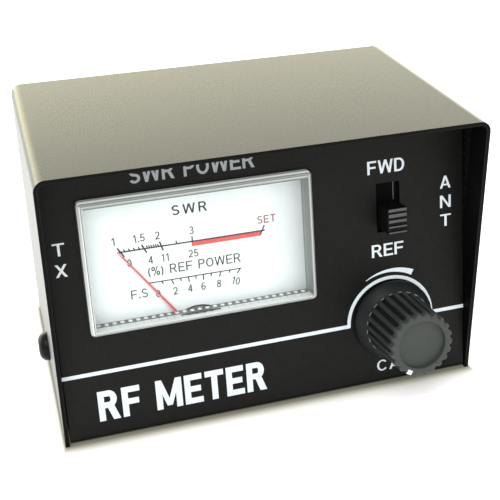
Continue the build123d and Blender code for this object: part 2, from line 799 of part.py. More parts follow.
def make_ground_wire():
    return coupler_to_control(38.0, 19.5, 40.5, 32.0, 2.0)


def make_meter_wires():
    wires = []
    back = CONTROL_W - BOARD_T
    for (u, v), (bu, bv), drop in zip(terminal_places(), ((23.0, 48.0), (23.0, 42.0)), (10.5, 8.5)):
        tail = METER_BACK - 6
        points = [
            panel_point(u, v, tail),
            panel_point(u, v, tail - drop + 4),
            panel_point(bu - 5, bv, tail - drop + 6),
            panel_point(bu, bv, back - 6),
            panel_point(bu, bv, back),
        ]
        wires.append(wire(points, 2.5, WIRE_R))
    return wires


# ---------------------------------------------------------------- assembly
add("top_cover", make_cover())
add("chassis", make_chassis())
add("cover_screws", *make_cover_screws())

add("meter_lens", on_panel(make_lens()))
add("meter_housing", on_panel(make_housing()))
add("scale_plate", on_panel(make_scale_plate()))
add("scale_plate_screws", *[on_panel(s) for s in make_plate_screws()])
add("movement_yoke", on_panel(make_yoke()))
add("core_magnet", on_panel(make_core()))
add("core_bracket", on_panel(make_core_bracket()))
add("front_bridge", on_panel(make_bridge(True)))
add("rear_bridge", on_panel(make_bridge(False)))
add("bridge_pillars", *[on_panel(s) for s in make_pillars()])
add("jewel_screws", *[on_panel(s) for s in make_jewel_screws()])
add("front_hairspring", on_panel(make_hairspring(True)))
add("rear_hairspring", on_panel(make_hairspring(False)))
add("meter_terminals", *[on_panel(s) for s in make_meter_terminals()])
add("glue_beads", *[on_panel(s) for s in make_glue_beads()])
add("pointer", on_panel(make_needle()))
add("moving_coil", on_panel(make_coil()))
add("coil_pivots", *[on_panel(s) for s in make_pivots()])

add("knob_body", on_panel(at_knob(make_knob_body())))
add("knob_cap", on_panel(at_knob(make_knob_cap())))
add("knob_index", on_panel(at_knob(make_knob_index())))
add("pot_shaft", on_panel(at_knob(make_shaft())))
add("pot_wiper", on_panel(at_knob(make_wiper())))
add("pot_bushing", on_panel(at_knob(make_bushing())))
add("pot_can", on_panel(at_knob(make_pot_can())))
add("pot_track", on_panel(at_knob(make_pot_track())))
add("pot_terminals", *[on_panel(at_knob(s)) for s in make_pot_terminals()])
add("pot_washer", on_panel(at_knob(make_pot_washer())))
add("pot_nut", on_panel(at_knob(make_pot_nut())))

add("switch_frame", on_panel(at_slot(make_switch_frame())))
add("switch_base", on_panel(at_slot(make_switch_base())))
add("switch_terminals", *[on_panel(at_slot(s)) for s in make_switch_terminals()])
add("switch_lever", on_panel(at_lever(make_lever())))
add("switch_contacts", *[on_panel(at_lever(s)) for s in make_contact_clip()])
add("control_board", on_panel(make_control_board()))

for label, side in (("tx", -1), ("ant", 1)):
    add(label + "_socket_shell", make_socket_shell(side))
    add(label + "_socket_insulator", make_insulator(side))
    add(label + "_centre_contact", make_contact(side))
add("socket_screws", *make_socket_screws())
add("socket_nuts", *make_socket_nuts())

add("coupler_board", make_coupler_board())
add("through_line", make_through_line())
add("pickup_lines", *make_pickup_lines())
add("detector_diodes", *make_diodes())
add("terminating_resistors", *make_resistors())
add("bypass_capacitors", *make_capacitors())

add("forward_wire", make_forward_wire())
add("reflected_wire", make_reflected_wire())
add("ground_wire", make_ground_wire())
add("meter_wires", *make_meter_wires())

# ---------------------------------------------------------------- origin and export
whole = Compound(children=[s for part in parts.values() for s in part.solids()]).bounding_box()
ORIGIN_Y = (whole.min.Y + whole.max.Y) / 2
SHIFT = Pos(0, -ORIGIN_Y, 0)

os.makedirs("parts", exist_ok=True)
for name, part in parts.items():
    moved = SHIFT * part
    moved.label = name
    export_step(moved, os.path.join("parts", name + ".step"))

print("box", whole.min, whole.max, "origin y", round(ORIGIN_Y, 4))
print("knob centre", panel_point(KNOB_U, KNOB_V, 0), "pivot", panel_point(PIVOT_U, PIVOT_V, 0))
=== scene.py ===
"""Looks of the SWR meter: materials, printed legends, window, knob and rear sockets.

Lengths are in millimetres until a piece is made. Shapes on the leaning front panel are drawn in
the panel's own frame, u across, v up the panel and w out of its face. Shapes on the rear sockets
are drawn in a frame whose w points to the rear.
"""

import json
import math

import bmesh
import bpy
from mathutils import Matrix, Vector


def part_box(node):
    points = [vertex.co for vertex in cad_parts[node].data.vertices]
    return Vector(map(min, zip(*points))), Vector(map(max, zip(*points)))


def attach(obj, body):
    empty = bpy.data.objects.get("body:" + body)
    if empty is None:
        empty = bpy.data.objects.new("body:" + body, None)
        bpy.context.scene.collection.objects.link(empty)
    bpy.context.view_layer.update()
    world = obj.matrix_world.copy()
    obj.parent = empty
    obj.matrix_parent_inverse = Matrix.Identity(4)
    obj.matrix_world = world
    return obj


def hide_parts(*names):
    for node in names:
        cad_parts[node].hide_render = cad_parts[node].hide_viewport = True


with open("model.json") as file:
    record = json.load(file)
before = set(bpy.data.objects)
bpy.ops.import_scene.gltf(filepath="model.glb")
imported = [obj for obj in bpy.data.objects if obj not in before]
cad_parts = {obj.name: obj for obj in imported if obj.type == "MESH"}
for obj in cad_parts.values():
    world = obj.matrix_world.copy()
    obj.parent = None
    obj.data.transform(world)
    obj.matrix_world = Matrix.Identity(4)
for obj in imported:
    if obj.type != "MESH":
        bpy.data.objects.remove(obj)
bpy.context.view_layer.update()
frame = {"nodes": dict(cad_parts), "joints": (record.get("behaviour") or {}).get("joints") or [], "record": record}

# ---------------------------------------------------------------- sizes shared with the CAD part
MM = 0.001
KNOB_U, KNOB_V = 31.36, 16.65
SKIRT_R, SKIRT_WALL, SKIRT_TOP = 10.25, 1.0, 3.9
KNOB_R0, KNOB_R1 = 8.3, 7.9
KNOB_GAP, KNOB_TOP, CAP_T = 0.6, 17.4, 1.8
FLUTES, FLUTE_R, FLUTE_OUT = 22, 0.68, 0.04
RECESS_R, RECESS_DEPTH = 5.95, 1.45
INDEX_ANGLE = -118.0

LENS_U0, LENS_U1 = -43.5, 11.35
LENS_V0, LENS_V1 = 26.15, 58.3
LENS_PROUD, LENS_WALL, LENS_CORNER, LENS_BEVEL = 2.0, 1.0, 1.05, 0.6
LENS_BACK = -2.0
METER_MARGIN, METER_V0, METER_V1 = 3.0, 7.2, 61.2
PLATE_W = -3.2
PIVOT_U, PIVOT_V = -17.27, 19.66
NOTCH_R = 7.85
NEEDLE_W, NEEDLE_R, NEEDLE_REST = -2.6, 30.3, 36.0
SLOT_U, LEVER_V = 31.13, 44.03
LEVER_W, LEVER_H, LEVER_PROUD = 4.96, 6.2, 5.6
CASE_W, CASE_H, SHEET, COVER_BEND = 105.0, 69.0, 1.0, 2.7

SOCKET_X, SOCKET_Z = 29.0, 34.0
SOCKET_R, SOCKET_BORE_R = 7.94, 6.05
FLANGE_SIDE, FLANGE_T, FLANGE_CORNER = 25.4, 1.8, 2.0
SOCKET_LENGTH = 16.0
THREAD_PITCH, THREAD_DEPTH = 1.058, 0.55

# ---------------------------------------------------------------- sizes of the visible detail
INK_T = 0.03
RIB_PITCH = 1.86
RIB_BASE = LENS_V0 + LENS_WALL
LENS_CORNER_STEPS = 5
KNOB_STEPS = 16 * FLUTES
SOCKET_STEPS = 96
THREAD_STEPS = 8
SHADE_LINING_DEPTH = 7.0
EDGE_LIFT = 0.02


def joint(name):
    return next(j for j in frame["joints"] if j["name"] == name)


def frame_matrix(across, up, out, origin):
    """Millimetres in a local frame to metres in the object's frame."""
    axes = Matrix((across, up, out)).transposed().to_4x4()
    return Matrix.Translation(origin) @ axes @ Matrix.Scale(MM, 4)


ACROSS = Vector((1, 0, 0))
UP = Vector(joint("switch_slide")["axis"])
OUT = -Vector(joint("calibration_turn")["axis"])
KNOB_AT = Vector(joint("calibration_turn")["pos_m"])
PANEL = frame_matrix(ACROSS, UP, OUT, KNOB_AT - (ACROSS * KNOB_U + UP * KNOB_V) * MM)
KNOB = PANEL @ Matrix.Translation((KNOB_U, KNOB_V, 0))
REAR_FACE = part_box("tx_socket_shell")[1].y - (SOCKET_LENGTH + FLANGE_T) * MM


def rear_matrix(x, z):
    """A frame on the rear panel's outer face, seen from behind, with w to the rear."""
    return frame_matrix(-ACROSS, Vector((0, 0, 1)), Vector((0, 1, 0)), Vector((x * MM, REAR_FACE, z * MM)))


# ---------------------------------------------------------------- materials
def shader(name):
    made = bpy.data.materials.new(name)
    made.use_nodes = True
    nodes, links = made.node_tree.nodes, made.node_tree.links
    return made, nodes, links, nodes["Principled BSDF"]


def noise(nodes, links, scale, detail, stretch):
    """A noise texture fixed to the piece; scale is in features per metre."""
    where = nodes.new("ShaderNodeTexCoord")
    texture = nodes.new("ShaderNodeTexNoise")
    texture.inputs["Scale"].default_value = scale
    texture.inputs["Detail"].default_value = detail
    source = where.outputs["Object"]
    if stretch:
        mapping = nodes.new("ShaderNodeMapping")
        mapping.inputs["Scale"].default_value = stretch
        links.new(source, mapping.inputs["Vector"])
        source = mapping.outputs["Vector"]
    links.new(source, texture.inputs["Vector"])
    return texture.outputs["Fac"]


def spread(nodes, links, source, low, high):
    """Maps the middle of a texture's range to low..high."""
    ramp = nodes.new("ShaderNodeMapRange")
    ramp.inputs["From Min"].default_value = 0.3
    ramp.inputs["From Max"].default_value = 0.7
    ramp.inputs["To Min"].default_value = low
    ramp.inputs["To Max"].default_value = high
    links.new(source, ramp.inputs["Value"])
    return ramp.outputs["Result"]


def blended(nodes, links, factor, dark, light):
    """A colour between dark and light by factor."""
    mix = nodes.new("ShaderNodeMix")
    mix.data_type = "RGBA"
    links.new(factor, mix.inputs["Factor"])
    mix.inputs["A"].default_value = (*dark, 1)
    mix.inputs["B"].default_value = (*light, 1)
    return mix.outputs["Result"]


def shaded(colour, amount):
    return tuple(min(1.0, c * amount) for c in colour)


def surface(
    name, colour, rough, metallic=0.0, specular=0.5, mottle=0.12, mottle_scale=250.0,
    grain=0.1, grain_scale=4000.0, grain_depth=0.03, stretch=None, coat=0.0,
):
    """A finish with mottled colour, uneven gloss and a fine grain; depths are in millimetres."""
    made, nodes, links, bsdf = shader(name)
    bsdf.inputs["Metallic"].default_value = metallic
    bsdf.inputs["Specular IOR Level"].default_value = specular
    bsdf.inputs["Coat Weight"].default_value = coat
    bsdf.inputs["Coat Roughness"].default_value = 0.15
    broad = spread(nodes, links, noise(nodes, links, mottle_scale, 4.0, stretch), 0.0, 1.0)
    tint = blended(nodes, links, broad, shaded(colour, 1 - mottle), shaded(colour, 1 + mottle))
    links.new(tint, bsdf.inputs["Base Color"])
    fine = noise(nodes, links, grain_scale, 2.0, stretch)
    gloss = spread(nodes, links, fine, rough - 0.06, rough + 0.06)
    links.new(gloss, bsdf.inputs["Roughness"])
    bump = nodes.new("ShaderNodeBump")
    bump.inputs["Strength"].default_value = grain
    bump.inputs["Distance"].default_value = grain_depth * MM
    links.new(fine, bump.inputs["Height"])
    links.new(bump.outputs["Normal"], bsdf.inputs["Normal"])
    return made


def clear_plastic(name, tint, gloss=0.03, haze=0.0, painted_glow=0.0):
    """Clear moulded plastic: light passes straight through and the surface mirrors by angle.

    Haze is the share of the surface that shows its own milky colour, and the glow is painted light,
    given to bands that lie in shade.
    """
    made, nodes, links, bsdf = shader(name)
    bsdf.inputs["Base Color"].default_value = (*tint, 1)
    bsdf.inputs["Emission Color"].default_value = (*tint, 1)
    bsdf.inputs["Emission Strength"].default_value = painted_glow
    bsdf.inputs["Roughness"].default_value = 0.35
    through = nodes.new("ShaderNodeBsdfTransparent")
    through.inputs["Color"].default_value = (*shaded(tint, 1.1), 1)
    mirror = nodes.new("ShaderNodeBsdfGlossy")
    mirror.inputs["Roughness"].default_value = gloss
    angle = nodes.new("ShaderNodeLayerWeight")
    angle.inputs["Blend"].default_value = 0.1
    body = nodes.new("ShaderNodeMixShader")
    body.inputs["Fac"].default_value = haze
    links.new(through.outputs["BSDF"], body.inputs[1])
    links.new(bsdf.outputs["BSDF"], body.inputs[2])
    skin = nodes.new("ShaderNodeMixShader")
    links.new(angle.outputs["Facing"], skin.inputs["Fac"])
    links.new(body.outputs["Shader"], skin.inputs[1])
    links.new(mirror.outputs["BSDF"], skin.inputs[2])
    links.new(skin.outputs["Shader"], nodes["Material Output"].inputs["Surface"])
    return made


def banded(name, dark, light, rough, pitch, axis, metallic=0.0, depth=0.05):
    """Parallel turns or stripes of the given pitch in millimetres along one axis."""
    made, nodes, links, bsdf = shader(name)
    bsdf.inputs["Metallic"].default_value = metallic
    bsdf.inputs["Roughness"].default_value = rough
    where = nodes.new("ShaderNodeTexCoord")
    wave = nodes.new("ShaderNodeTexWave")
    wave.bands_direction = axis
    wave.inputs["Scale"].default_value = math.pi / (10 * pitch * MM)
    wave.inputs["Distortion"].default_value = 0.4
    links.new(where.outputs["Object"], wave.inputs["Vector"])
    links.new(blended(nodes, links, wave.outputs["Fac"], dark, light), bsdf.inputs["Base Color"])
    bump = nodes.new("ShaderNodeBump")
    bump.inputs["Strength"].default_value = 0.4
    bump.inputs["Distance"].default_value = depth * MM
    links.new(wave.outputs["Fac"], bump.inputs["Height"])
    links.new(bump.outputs["Normal"], bsdf.inputs["Normal"])
    return made


def plate_white_painted_shade():
    """The scale plate's white, greyer close to the clear cover's left and right walls as painted shade."""
    made = surface("scale_white", (0.87, 0.9, 0.9), 0.5, mottle=0.02, mottle_scale=60, grain=0.04)
    nodes, links = made.node_tree.nodes, made.node_tree.links
    where, axes = nodes.new("ShaderNodeTexCoord"), nodes.new("ShaderNodeSeparateXYZ")
    links.new(where.outputs["Generated"], axes.inputs["Vector"])
    # Painted shade: a ramp across the plate darkens it towards the walls.
    ramp = nodes.new("ShaderNodeValToRGB")
    links.new(axes.outputs["X"], ramp.inputs["Fac"])
    stops = ramp.color_ramp.elements
    stops[1].position = 1.0
    for share, tone in ((0, 0.9), (0.12, 1.0), (0.78, 1.0), (0.88, 0.84), (0.98, 0.58)):
        stop = stops[0] if share == 0 else stops.new(share)
        stop.color = (0.98 * tone, 0.995 * tone, tone, 1)
    stops[-1].color = (0.55, 0.57, 0.58, 1)
    bsdf = nodes["Principled BSDF"]
    tint = bsdf.inputs["Base Color"].links[0].from_socket
    mix = nodes.new("ShaderNodeMix")
    mix.data_type, mix.blend_type = "RGBA", "MULTIPLY"
    mix.inputs["Factor"].default_value = 1.0
    links.new(tint, mix.inputs["A"])
    links.new(ramp.outputs["Color"], mix.inputs["B"])
    links.new(mix.outputs["Result"], bsdf.inputs["Base Color"])
    return made


METAL = dict(metallic=1.0, mottle=0.08, mottle_scale=400, grain=0.05)
MATERIALS = {
    "cover_paint": surface(
        "cover_paint", (0.005, 0.005, 0.0045), 0.28, specular=0.42, mottle=0.3, mottle_scale=900,
        grain=0.12, grain_scale=3200, grain_depth=0.02,
    ),
    "chassis_paint": surface(
        "chassis_paint", (0.0035, 0.0034, 0.003), 0.5, specular=0.15, mottle=0.3, mottle_scale=700,
        grain=0.25, grain_scale=2200, grain_depth=0.04,
    ),
    "black_steel": surface("black_steel", (0.004, 0.004, 0.004), 0.3, specular=0.12),
    "clear_plastic": clear_plastic("clear_plastic", (0.9, 0.93, 0.92)),
    "black_plastic": surface("black_plastic", (0.02, 0.02, 0.02), 0.55, grain_scale=2500, grain=0.2),
    "scale_white": plate_white_painted_shade(),
    "steel": surface("steel", (0.55, 0.55, 0.55), 0.3, stretch=(1, 0.05, 1), **METAL),
    "iron": surface("iron", (0.25, 0.24, 0.23), 0.55, **METAL),
    "brass": surface("brass", (0.78, 0.6, 0.27), 0.3, **METAL),
    "bronze": surface("bronze", (0.7, 0.45, 0.25), 0.28, **METAL),
    "glue": surface("glue", (0.85, 0.8, 0.65), 0.35, mottle_scale=300, grain_scale=600, grain=0.3),
    "pointer_red": surface("pointer_red", (0.82, 0.3, 0.28), 0.4, mottle=0.06, grain_scale=3000),
    "copper": banded("copper", (0.45, 0.16, 0.06), (0.8, 0.38, 0.2), 0.35, 0.16, "Y", 0.8),
    "knob_charcoal": surface(
        "knob_charcoal", (0.008, 0.01, 0.0105), 0.4, specular=0.15, mottle=0.1, mottle_scale=300,
        grain=0.15, grain_scale=2500,
    ),
    "knob_grey": surface(
        "knob_grey", (0.039, 0.045, 0.041), 0.5, specular=0.26, mottle=0.06, mottle_scale=300,
        grain=0.12, grain_scale=2500,
    ),
    "white_ink": surface("white_ink", (0.62, 0.68, 0.71), 0.45, mottle=0.06, mottle_scale=1500),
    "phenolic": banded("phenolic", (0.2, 0.1, 0.045), (0.27, 0.15, 0.07), 0.5, 0.35, "Z"),
    "nickel": surface("nickel", (0.5, 0.49, 0.465), 0.24, **METAL),
    "tinned": surface("tinned", (0.7, 0.7, 0.68), 0.38, **METAL),
    "switch_black": surface("switch_black", (0.003, 0.003, 0.003), 0.5, specular=0.12, grain_scale=2500),
    "board": surface(
        "board", (0.04, 0.17, 0.07), 0.3, mottle=0.3, mottle_scale=350, grain_scale=1200, coat=0.3
    ),
    "insulator": surface("insulator", (0.84, 0.81, 0.74), 0.5, mottle=0.05, mottle_scale=200),
    "diode_glass": surface("diode_glass", (0.6, 0.22, 0.08), 0.12, coat=0.6, mottle_scale=900),
    "resistor_paint": banded(
        "resistor_paint", (0.35, 0.16, 0.05), (0.72, 0.58, 0.38), 0.3, 1.5, "X", depth=0.02
    ),
    "capacitor_ceramic": surface("capacitor_ceramic", (0.7, 0.33, 0.09), 0.4, mottle_scale=800),
    "red_wire": surface("red_wire", (0.5, 0.03, 0.02), 0.4),
    "yellow_wire": surface("yellow_wire", (0.6, 0.45, 0.03), 0.4),
    "black_wire": surface("black_wire", (0.015, 0.015, 0.015), 0.4),
    "blue_wire": surface("blue_wire", (0.03, 0.08, 0.4), 0.4),
}
# Tones of the clear plastic for the window's bands: painted highlight and shade, the last two with a painted glow.
LENS_PAINTED_TONES = [
    clear_plastic("lens_white", (0.78, 0.82, 0.8), 0.12, haze=0.9),
    clear_plastic("lens_pale", (0.47, 0.51, 0.49), 0.12, haze=0.9),
    clear_plastic("lens_mid", (0.28, 0.3, 0.28), 0.15, haze=0.9),
    clear_plastic("lens_grey", (0.19, 0.2, 0.185), 0.15, haze=0.9),
    clear_plastic("lens_dark", (0.11, 0.12, 0.11), 0.15, haze=0.9),
    clear_plastic("lens_lit", (0.6, 0.64, 0.61), 0.15, haze=0.95, painted_glow=0.62),
    clear_plastic("lens_lit_dim", (0.5, 0.53, 0.5), 0.15, haze=0.95, painted_glow=0.4),
]
WHITE, PALE, MID, GREY, DARK, LIT, LIT_DIM = range(7)
# Painted highlight on the ribs, painted shade on their strip, and a dark line for painted reflection and shade.
RIB_HIGHLIGHT = surface("rib_painted_highlight", (0.74, 0.77, 0.74), 0.2, mottle=0.25, mottle_scale=900)
RIB_SHADE = surface("rib_painted_shade", (0.09, 0.095, 0.09), 0.3, mottle=0.3, mottle_scale=900)
PAINTED_DARK_LINE = surface("painted_dark_line", (0.012, 0.012, 0.012), 0.4, specular=0.3)
SHIELD = surface("movement_shield", (0.75, 0.78, 0.77), 0.45, mottle=0.08)
# Painted highlight for the foot of the knob's ridges.
RIDGE_FOOT_HIGHLIGHT = surface("ridge_foot_painted_highlight", (0.2, 0.2, 0.18), 0.4, mottle=0.5, mottle_scale=2500)
# Painted highlight on the knob's ridges and painted shade in its grooves.
KNOB_RIDGE_HIGHLIGHT = surface("knob_ridge_painted_highlight", (0.026, 0.029, 0.029), 0.4, specular=0.3)
KNOB_GROOVE_SHADE = surface("knob_groove_painted_shade", (0.006, 0.007, 0.007), 0.5, specular=0.15)
# Painted shade on the needle's right flank.
POINTER_SHADE = surface("pointer_painted_shade", (0.45, 0.04, 0.055), 0.45, mottle=0.08)
# Ink darkened by painted shadow, for the line under the cover's lip.
INK_IN_PAINTED_SHADOW = surface("ink_painted_shadow", (0.3, 0.33, 0.34), 0.5, mottle=0.06, mottle_scale=1500)
# Also the matt lining inside the cover's ends, which is painted shade.
CUT_EDGE_AND_SHADE = surface("cut_edge_and_painted_shade", (0.002, 0.002, 0.002), 0.6, specular=0.08, grain=0.05)
CUT_BURR = surface("cut_burr", (0.005, 0.005, 0.0045), 0.5, specular=0.1, grain=0.05)
# Painted highlight on one edge of the switch's shutter.
SHUTTER_GLINT = surface("shutter_painted_glint", (0.06, 0.062, 0.055), 0.4, mottle=0.2)
SHUTTER = surface("switch_shutter", (0.0015, 0.0015, 0.0015), 0.7, specular=0.05)
# Painted highlight on the lever's ridges.
LEVER_RIDGE_HIGHLIGHT = surface("lever_ridge_painted_highlight", (0.04, 0.043, 0.041), 0.45, mottle=0.2)
SCALE_BLACK = surface("scale_black", (0.012, 0.012, 0.013), 0.5, specular=0.3, mottle_scale=1500)
SCALE_GREY = surface("scale_grey", (0.03, 0.03, 0.034), 0.5, specular=0.3, mottle_scale=1500)
SCALE_RED = surface("scale_red", (0.66, 0.07, 0.065), 0.45, mottle=0.05, mottle_scale=900)
SCALE_RUST = surface("scale_rust", (0.2, 0.05, 0.045), 0.5, mottle_scale=1500)

for row in frame["record"]["subparts"]:
    node = frame["nodes"][row["node"]]
    node.data.materials.clear()
    node.data.materials.append(MATERIALS[row["material_slot"]])


# ---------------------------------------------------------------- mesh building
class Shape:
    """Collects faces in millimetres and makes one piece of them."""

    def __init__(self):
        self.points, self.faces, self.slots = [], [], []

    def face(self, points, slot=0):
        first = len(self.points)
        self.points += points
        self.faces.append(tuple(range(first, first + len(points))))
        self.slots.append(slot)

    def prism(self, outline, w0, w1, slot=0):
        """A flat outline, anticlockwise, raised from w0 to w1."""
        low = [(u, v, w0) for u, v in outline]
        high = [(u, v, w1) for u, v in outline]
        self.face(high, slot)
        self.face(low[::-1], slot)
        for i in range(len(outline)):
            j = (i + 1) % len(outline)
            self.face([low[i], low[j], high[j], high[i]], slot)

    def strip(self, a, b, slot):
        """Two open rows of points, joined by quads."""
        for i in range(len(a) - 1):
            self.face([a[i], a[i + 1], b[i + 1], b[i]], slot)

    def skin(self, rows, slots=None):
        """Closed rings of equal length, joined one to the next; slots(k, i) is each face's slot."""
        for k in range(len(rows) - 1):
            a, b = rows[k], rows[k + 1]
            for i in range(len(a)):
                j = (i + 1) % len(a)
                self.face([a[i], a[j], b[j], b[i]], slots(k, i) if slots else 0)

    def piece(self, name, body, slot, materials, matrix, smooth=None):
        """Makes the mesh in the object's frame; edges under the smooth angle are rounded off."""
        mesh = bpy.data.meshes.new(name)
        mesh.from_pydata(self.points, [], self.faces)
        for material in materials:
            mesh.materials.append(material)
        mesh.polygons.foreach_set("material_index", self.slots)
        shape = bmesh.new()
        shape.from_mesh(mesh)
        bmesh.ops.remove_doubles(shape, verts=shape.verts, dist=1e-4)
        bmesh.ops.recalc_face_normals(shape, faces=shape.faces)
        shape.to_mesh(mesh)
        shape.free()
        mesh.transform(matrix)
        if smooth is not None:
            mesh.shade_smooth()
            mesh.set_sharp_from_angle(angle=math.radians(smooth))
        made = bpy.data.objects.new(name, mesh)
        bpy.context.scene.collection.objects.link(made)
        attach(made, body)
        return made


def rect(u0, u1, v0, v1):
    return [(u0, v0), (u1, v0), (u1, v1), (u0, v1)]


def arc(cu, cv, ru, rv, start, end, steps=16):
    """Points on an ellipse, angles in degrees."""
    turns = [math.radians(start + (end - start) * i / steps) for i in range(steps + 1)]
    return [(cu + ru * math.cos(a), cv + rv * math.sin(a)) for a in turns]


def band(cu, cv, r0, r1, start, end, steps=48):
    """A ring sector, in quads; r0 and r1 may be pairs (at the start, at the end)."""
    r0, r1 = (r if isinstance(r, tuple) else (r, r) for r in (r0, r1))
    quads = []
    for i in range(steps):
        corners = []
        for t, radii in ((i, r0), (i, r1), (i + 1, r1), (i + 1, r0)):
            share = t / steps
            a = math.radians(start + (end - start) * share)
            r = radii[0] + (radii[1] - radii[0]) * share
            corners.append((cu + r * math.cos(a), cv + r * math.sin(a)))
        quads.append(corners)
    return quads


def line(u0, v0, u1, v1, width):
    """A straight stroke with square ends."""
    along = Vector((u1 - u0, v1 - v0)).normalized()
    side = Vector((-along.y, along.x)) * width / 2
    ends = (Vector((u0, v0)), Vector((u1, v1)))
    return [tuple(p) for p in (ends[0] - side, ends[1] - side, ends[1] + side, ends[0] + side)]


# ---------------------------------------------------------------- bold lettering
def slant(bottom, top, width, y0=0.0, y1=1.0):
    """A leaning stroke with level ends, from x = bottom at y0 to x = top at y1."""
    return [(bottom, y0), (bottom + width, y0), (top + width, y1), (top, y1)]


def bow(cx, cy, rx, ry, t, h, start, end):
    """A curved stroke, t thick at its sides and h at its top and bottom, in quads."""
    outer = arc(cx, cy, rx, ry, start, end)
    inner = arc(cx, cy, rx - t, ry - h, start, end)
    return [[outer[i], outer[i + 1], inner[i + 1], inner[i]] for i in range(len(outer) - 1)]


def letter(name, t):
    """Width and outlines of a bold sans capital, one unit high, with stems t wide."""
    h = 0.86 * t
    mid = 0.5
    stem = rect(0, t, 0, 1)
    if name in "EF":
        strokes = [stem, rect(t, 0.66, 1 - h, 1), rect(t, 0.61, mid - h / 2, mid + h / 2)]
        return 0.68, strokes + ([rect(t, 0.68, 0, h)] if name == "E" else [])
    if name == "L":
        return 0.62, [stem, rect(t, 0.62, 0, h)]
    if name == "T":
        return 0.7, [rect(0, 0.7, 1 - h, 1), rect(0.35 - t / 2, 0.35 + t / 2, 0, 1 - h)]
    if name == "A":
        s = 1.1 * t
        low = 0.22
        inset = 0.39 * low
        return 0.8, [
            slant(0, 0.4 - s / 2, s), slant(0.8 - s, 0.4 - s / 2, s),
            rect(inset + s / 2, 0.8 - inset - s / 2, low, low + h),
        ]
    if name == "M":
        s = 0.85 * t
        return 0.96, [
            stem, rect(0.96 - t, 0.96, 0, 1), slant(0.48 - s / 2, 0.15 * t, s, 0.1),
            slant(0.48 - s / 2, 0.96 - s - 0.15 * t, s, 0.1),
        ]
    if name == "N":
        return 0.74, [stem, rect(0.74 - t, 0.74, 0, 1), slant(0.74 - t * 1.1, 0, t * 1.1)]
    if name == "W":
        s = 0.95 * t
        return 1.1, [
            slant(0.26 - s / 2, 0, s), slant(0.26 - s / 2, 0.55 - s / 2, s),
            slant(0.84 - s / 2, 0.55 - s / 2, s), slant(0.84 - s / 2, 1.1 - s, s),
        ]
    if name == "X":
        s = 1.2 * t
        return 0.74, [slant(0, 0.74 - s, s), slant(0.74 - s, 0, s)]
    if name == "D":
        return 0.75, [stem, rect(t, 0.36, 0, h), rect(t, 0.36, 1 - h, 1)] + bow(
            0.36, 0.5, 0.39, 0.5, t, h, -90, 90
        )
    if name in "PR":
        low = 0.42
        r = (1 - low) / 2
        strokes = [stem, rect(t, 0.4, low, low + h), rect(t, 0.4, 1 - h, 1)]
        strokes += bow(0.4, 1 - r, 0.28, r, t, h, -90, 90)
        if name == "P":
            return 0.68, strokes
        return 0.76, strokes + [slant(0.76 - 1.15 * t, 0.36 - 0.3 * t, 1.15 * t, 0, low + h / 2)]
    if name == "C":
        return 0.74, bow(0.39, 0.5, 0.39, 0.5, t, h, 38, 322)
    if name == "O":
        return 0.8, bow(0.4, 0.5, 0.4, 0.5, t, h, 0, 360)
    if name == "S":
        r = (0.5 + h / 2) / 2
        upper = bow(0.34, 1 - r, 0.32, r, t, h, 25, 270)
        return 0.68, upper + bow(0.34, r, 0.34, r, t, h, -155, 90)
    return figure(name, t, h)


def figure(name, t, h):
    """Width and outlines of a figure or sign, on the same terms as a letter."""
    if name == "0":
        return 0.56, bow(0.28, 0.5, 0.28, 0.5, t, h, 0, 360)
    if name == "1":
        return 0.42, [rect(0.24, 0.24 + t, 0, 1), [(0.02, 0.7), (0.24, 0.84), (0.24, 1.0), (0.02, 0.8)]]
    if name == "2":
        return 0.56, bow(0.28, 0.7, 0.28, 0.3, t, h, -30, 165) + [
            line(0.5, 0.56, 0.05, h / 2, t), rect(0, 0.56, 0, h),
        ]
    if name == "3":
        upper = bow(0.27, 0.745, 0.25, 0.255, t, h, -90, 155)
        return 0.56, upper + bow(0.27, 0.27, 0.29, 0.27, t, h, -160, 90)
    if name == "4":
        return 0.58, [rect(0.36, 0.36 + t, 0, 1), rect(0, 0.58, 0.24, 0.24 + h), slant(0, 0.36, t, 0.26)]
    if name == "5":
        return 0.56, [rect(0.1, 0.52, 1 - h, 1), slant(0.03, 0.1, t, 0.45)] + bow(
            0.26, 0.31, 0.3, 0.31, t, h, -160, 145
        )
    if name == "6":
        return 0.56, bow(0.28, 0.31, 0.28, 0.31, t, h, 0, 360) + bow(0.31, 0.5, 0.31, 0.5, t, h, 50, 190)
    if name == "8":
        upper = bow(0.28, 0.755, 0.25, 0.245, t, h, 0, 360)
        return 0.56, upper + bow(0.28, 0.28, 0.28, 0.28, t, h, 0, 360)
    if name == "(":
        return 0.26, bow(0.55, 0.42, 0.5, 0.75, t, h, 135, 225)
    if name == ")":
        return 0.26, bow(-0.29, 0.42, 0.5, 0.75, t, h, -45, 45)
    if name == "%":
        rings = bow(0.2, 0.75, 0.2, 0.25, t, h, 0, 360) + bow(0.7, 0.25, 0.2, 0.25, t, h, 0, 360)
        return 0.9, rings + [slant(0.2, 0.6, t * 0.8)]
    if name == ".":
        return 0.2, [rect(0.03, 0.03 + 1.2 * t, 0, 1.3 * t)]
    return 0.36, []


def set_type(text, stem, gap):
    """The text's strokes on one line, one unit high, and its width."""
    drawn, x = [], 0.0
    for name in text:
        width, strokes = letter(name, stem)
        drawn += [[(x + px, py) for px, py in stroke] for stroke in strokes]
        x += width + gap
    return drawn, x - gap


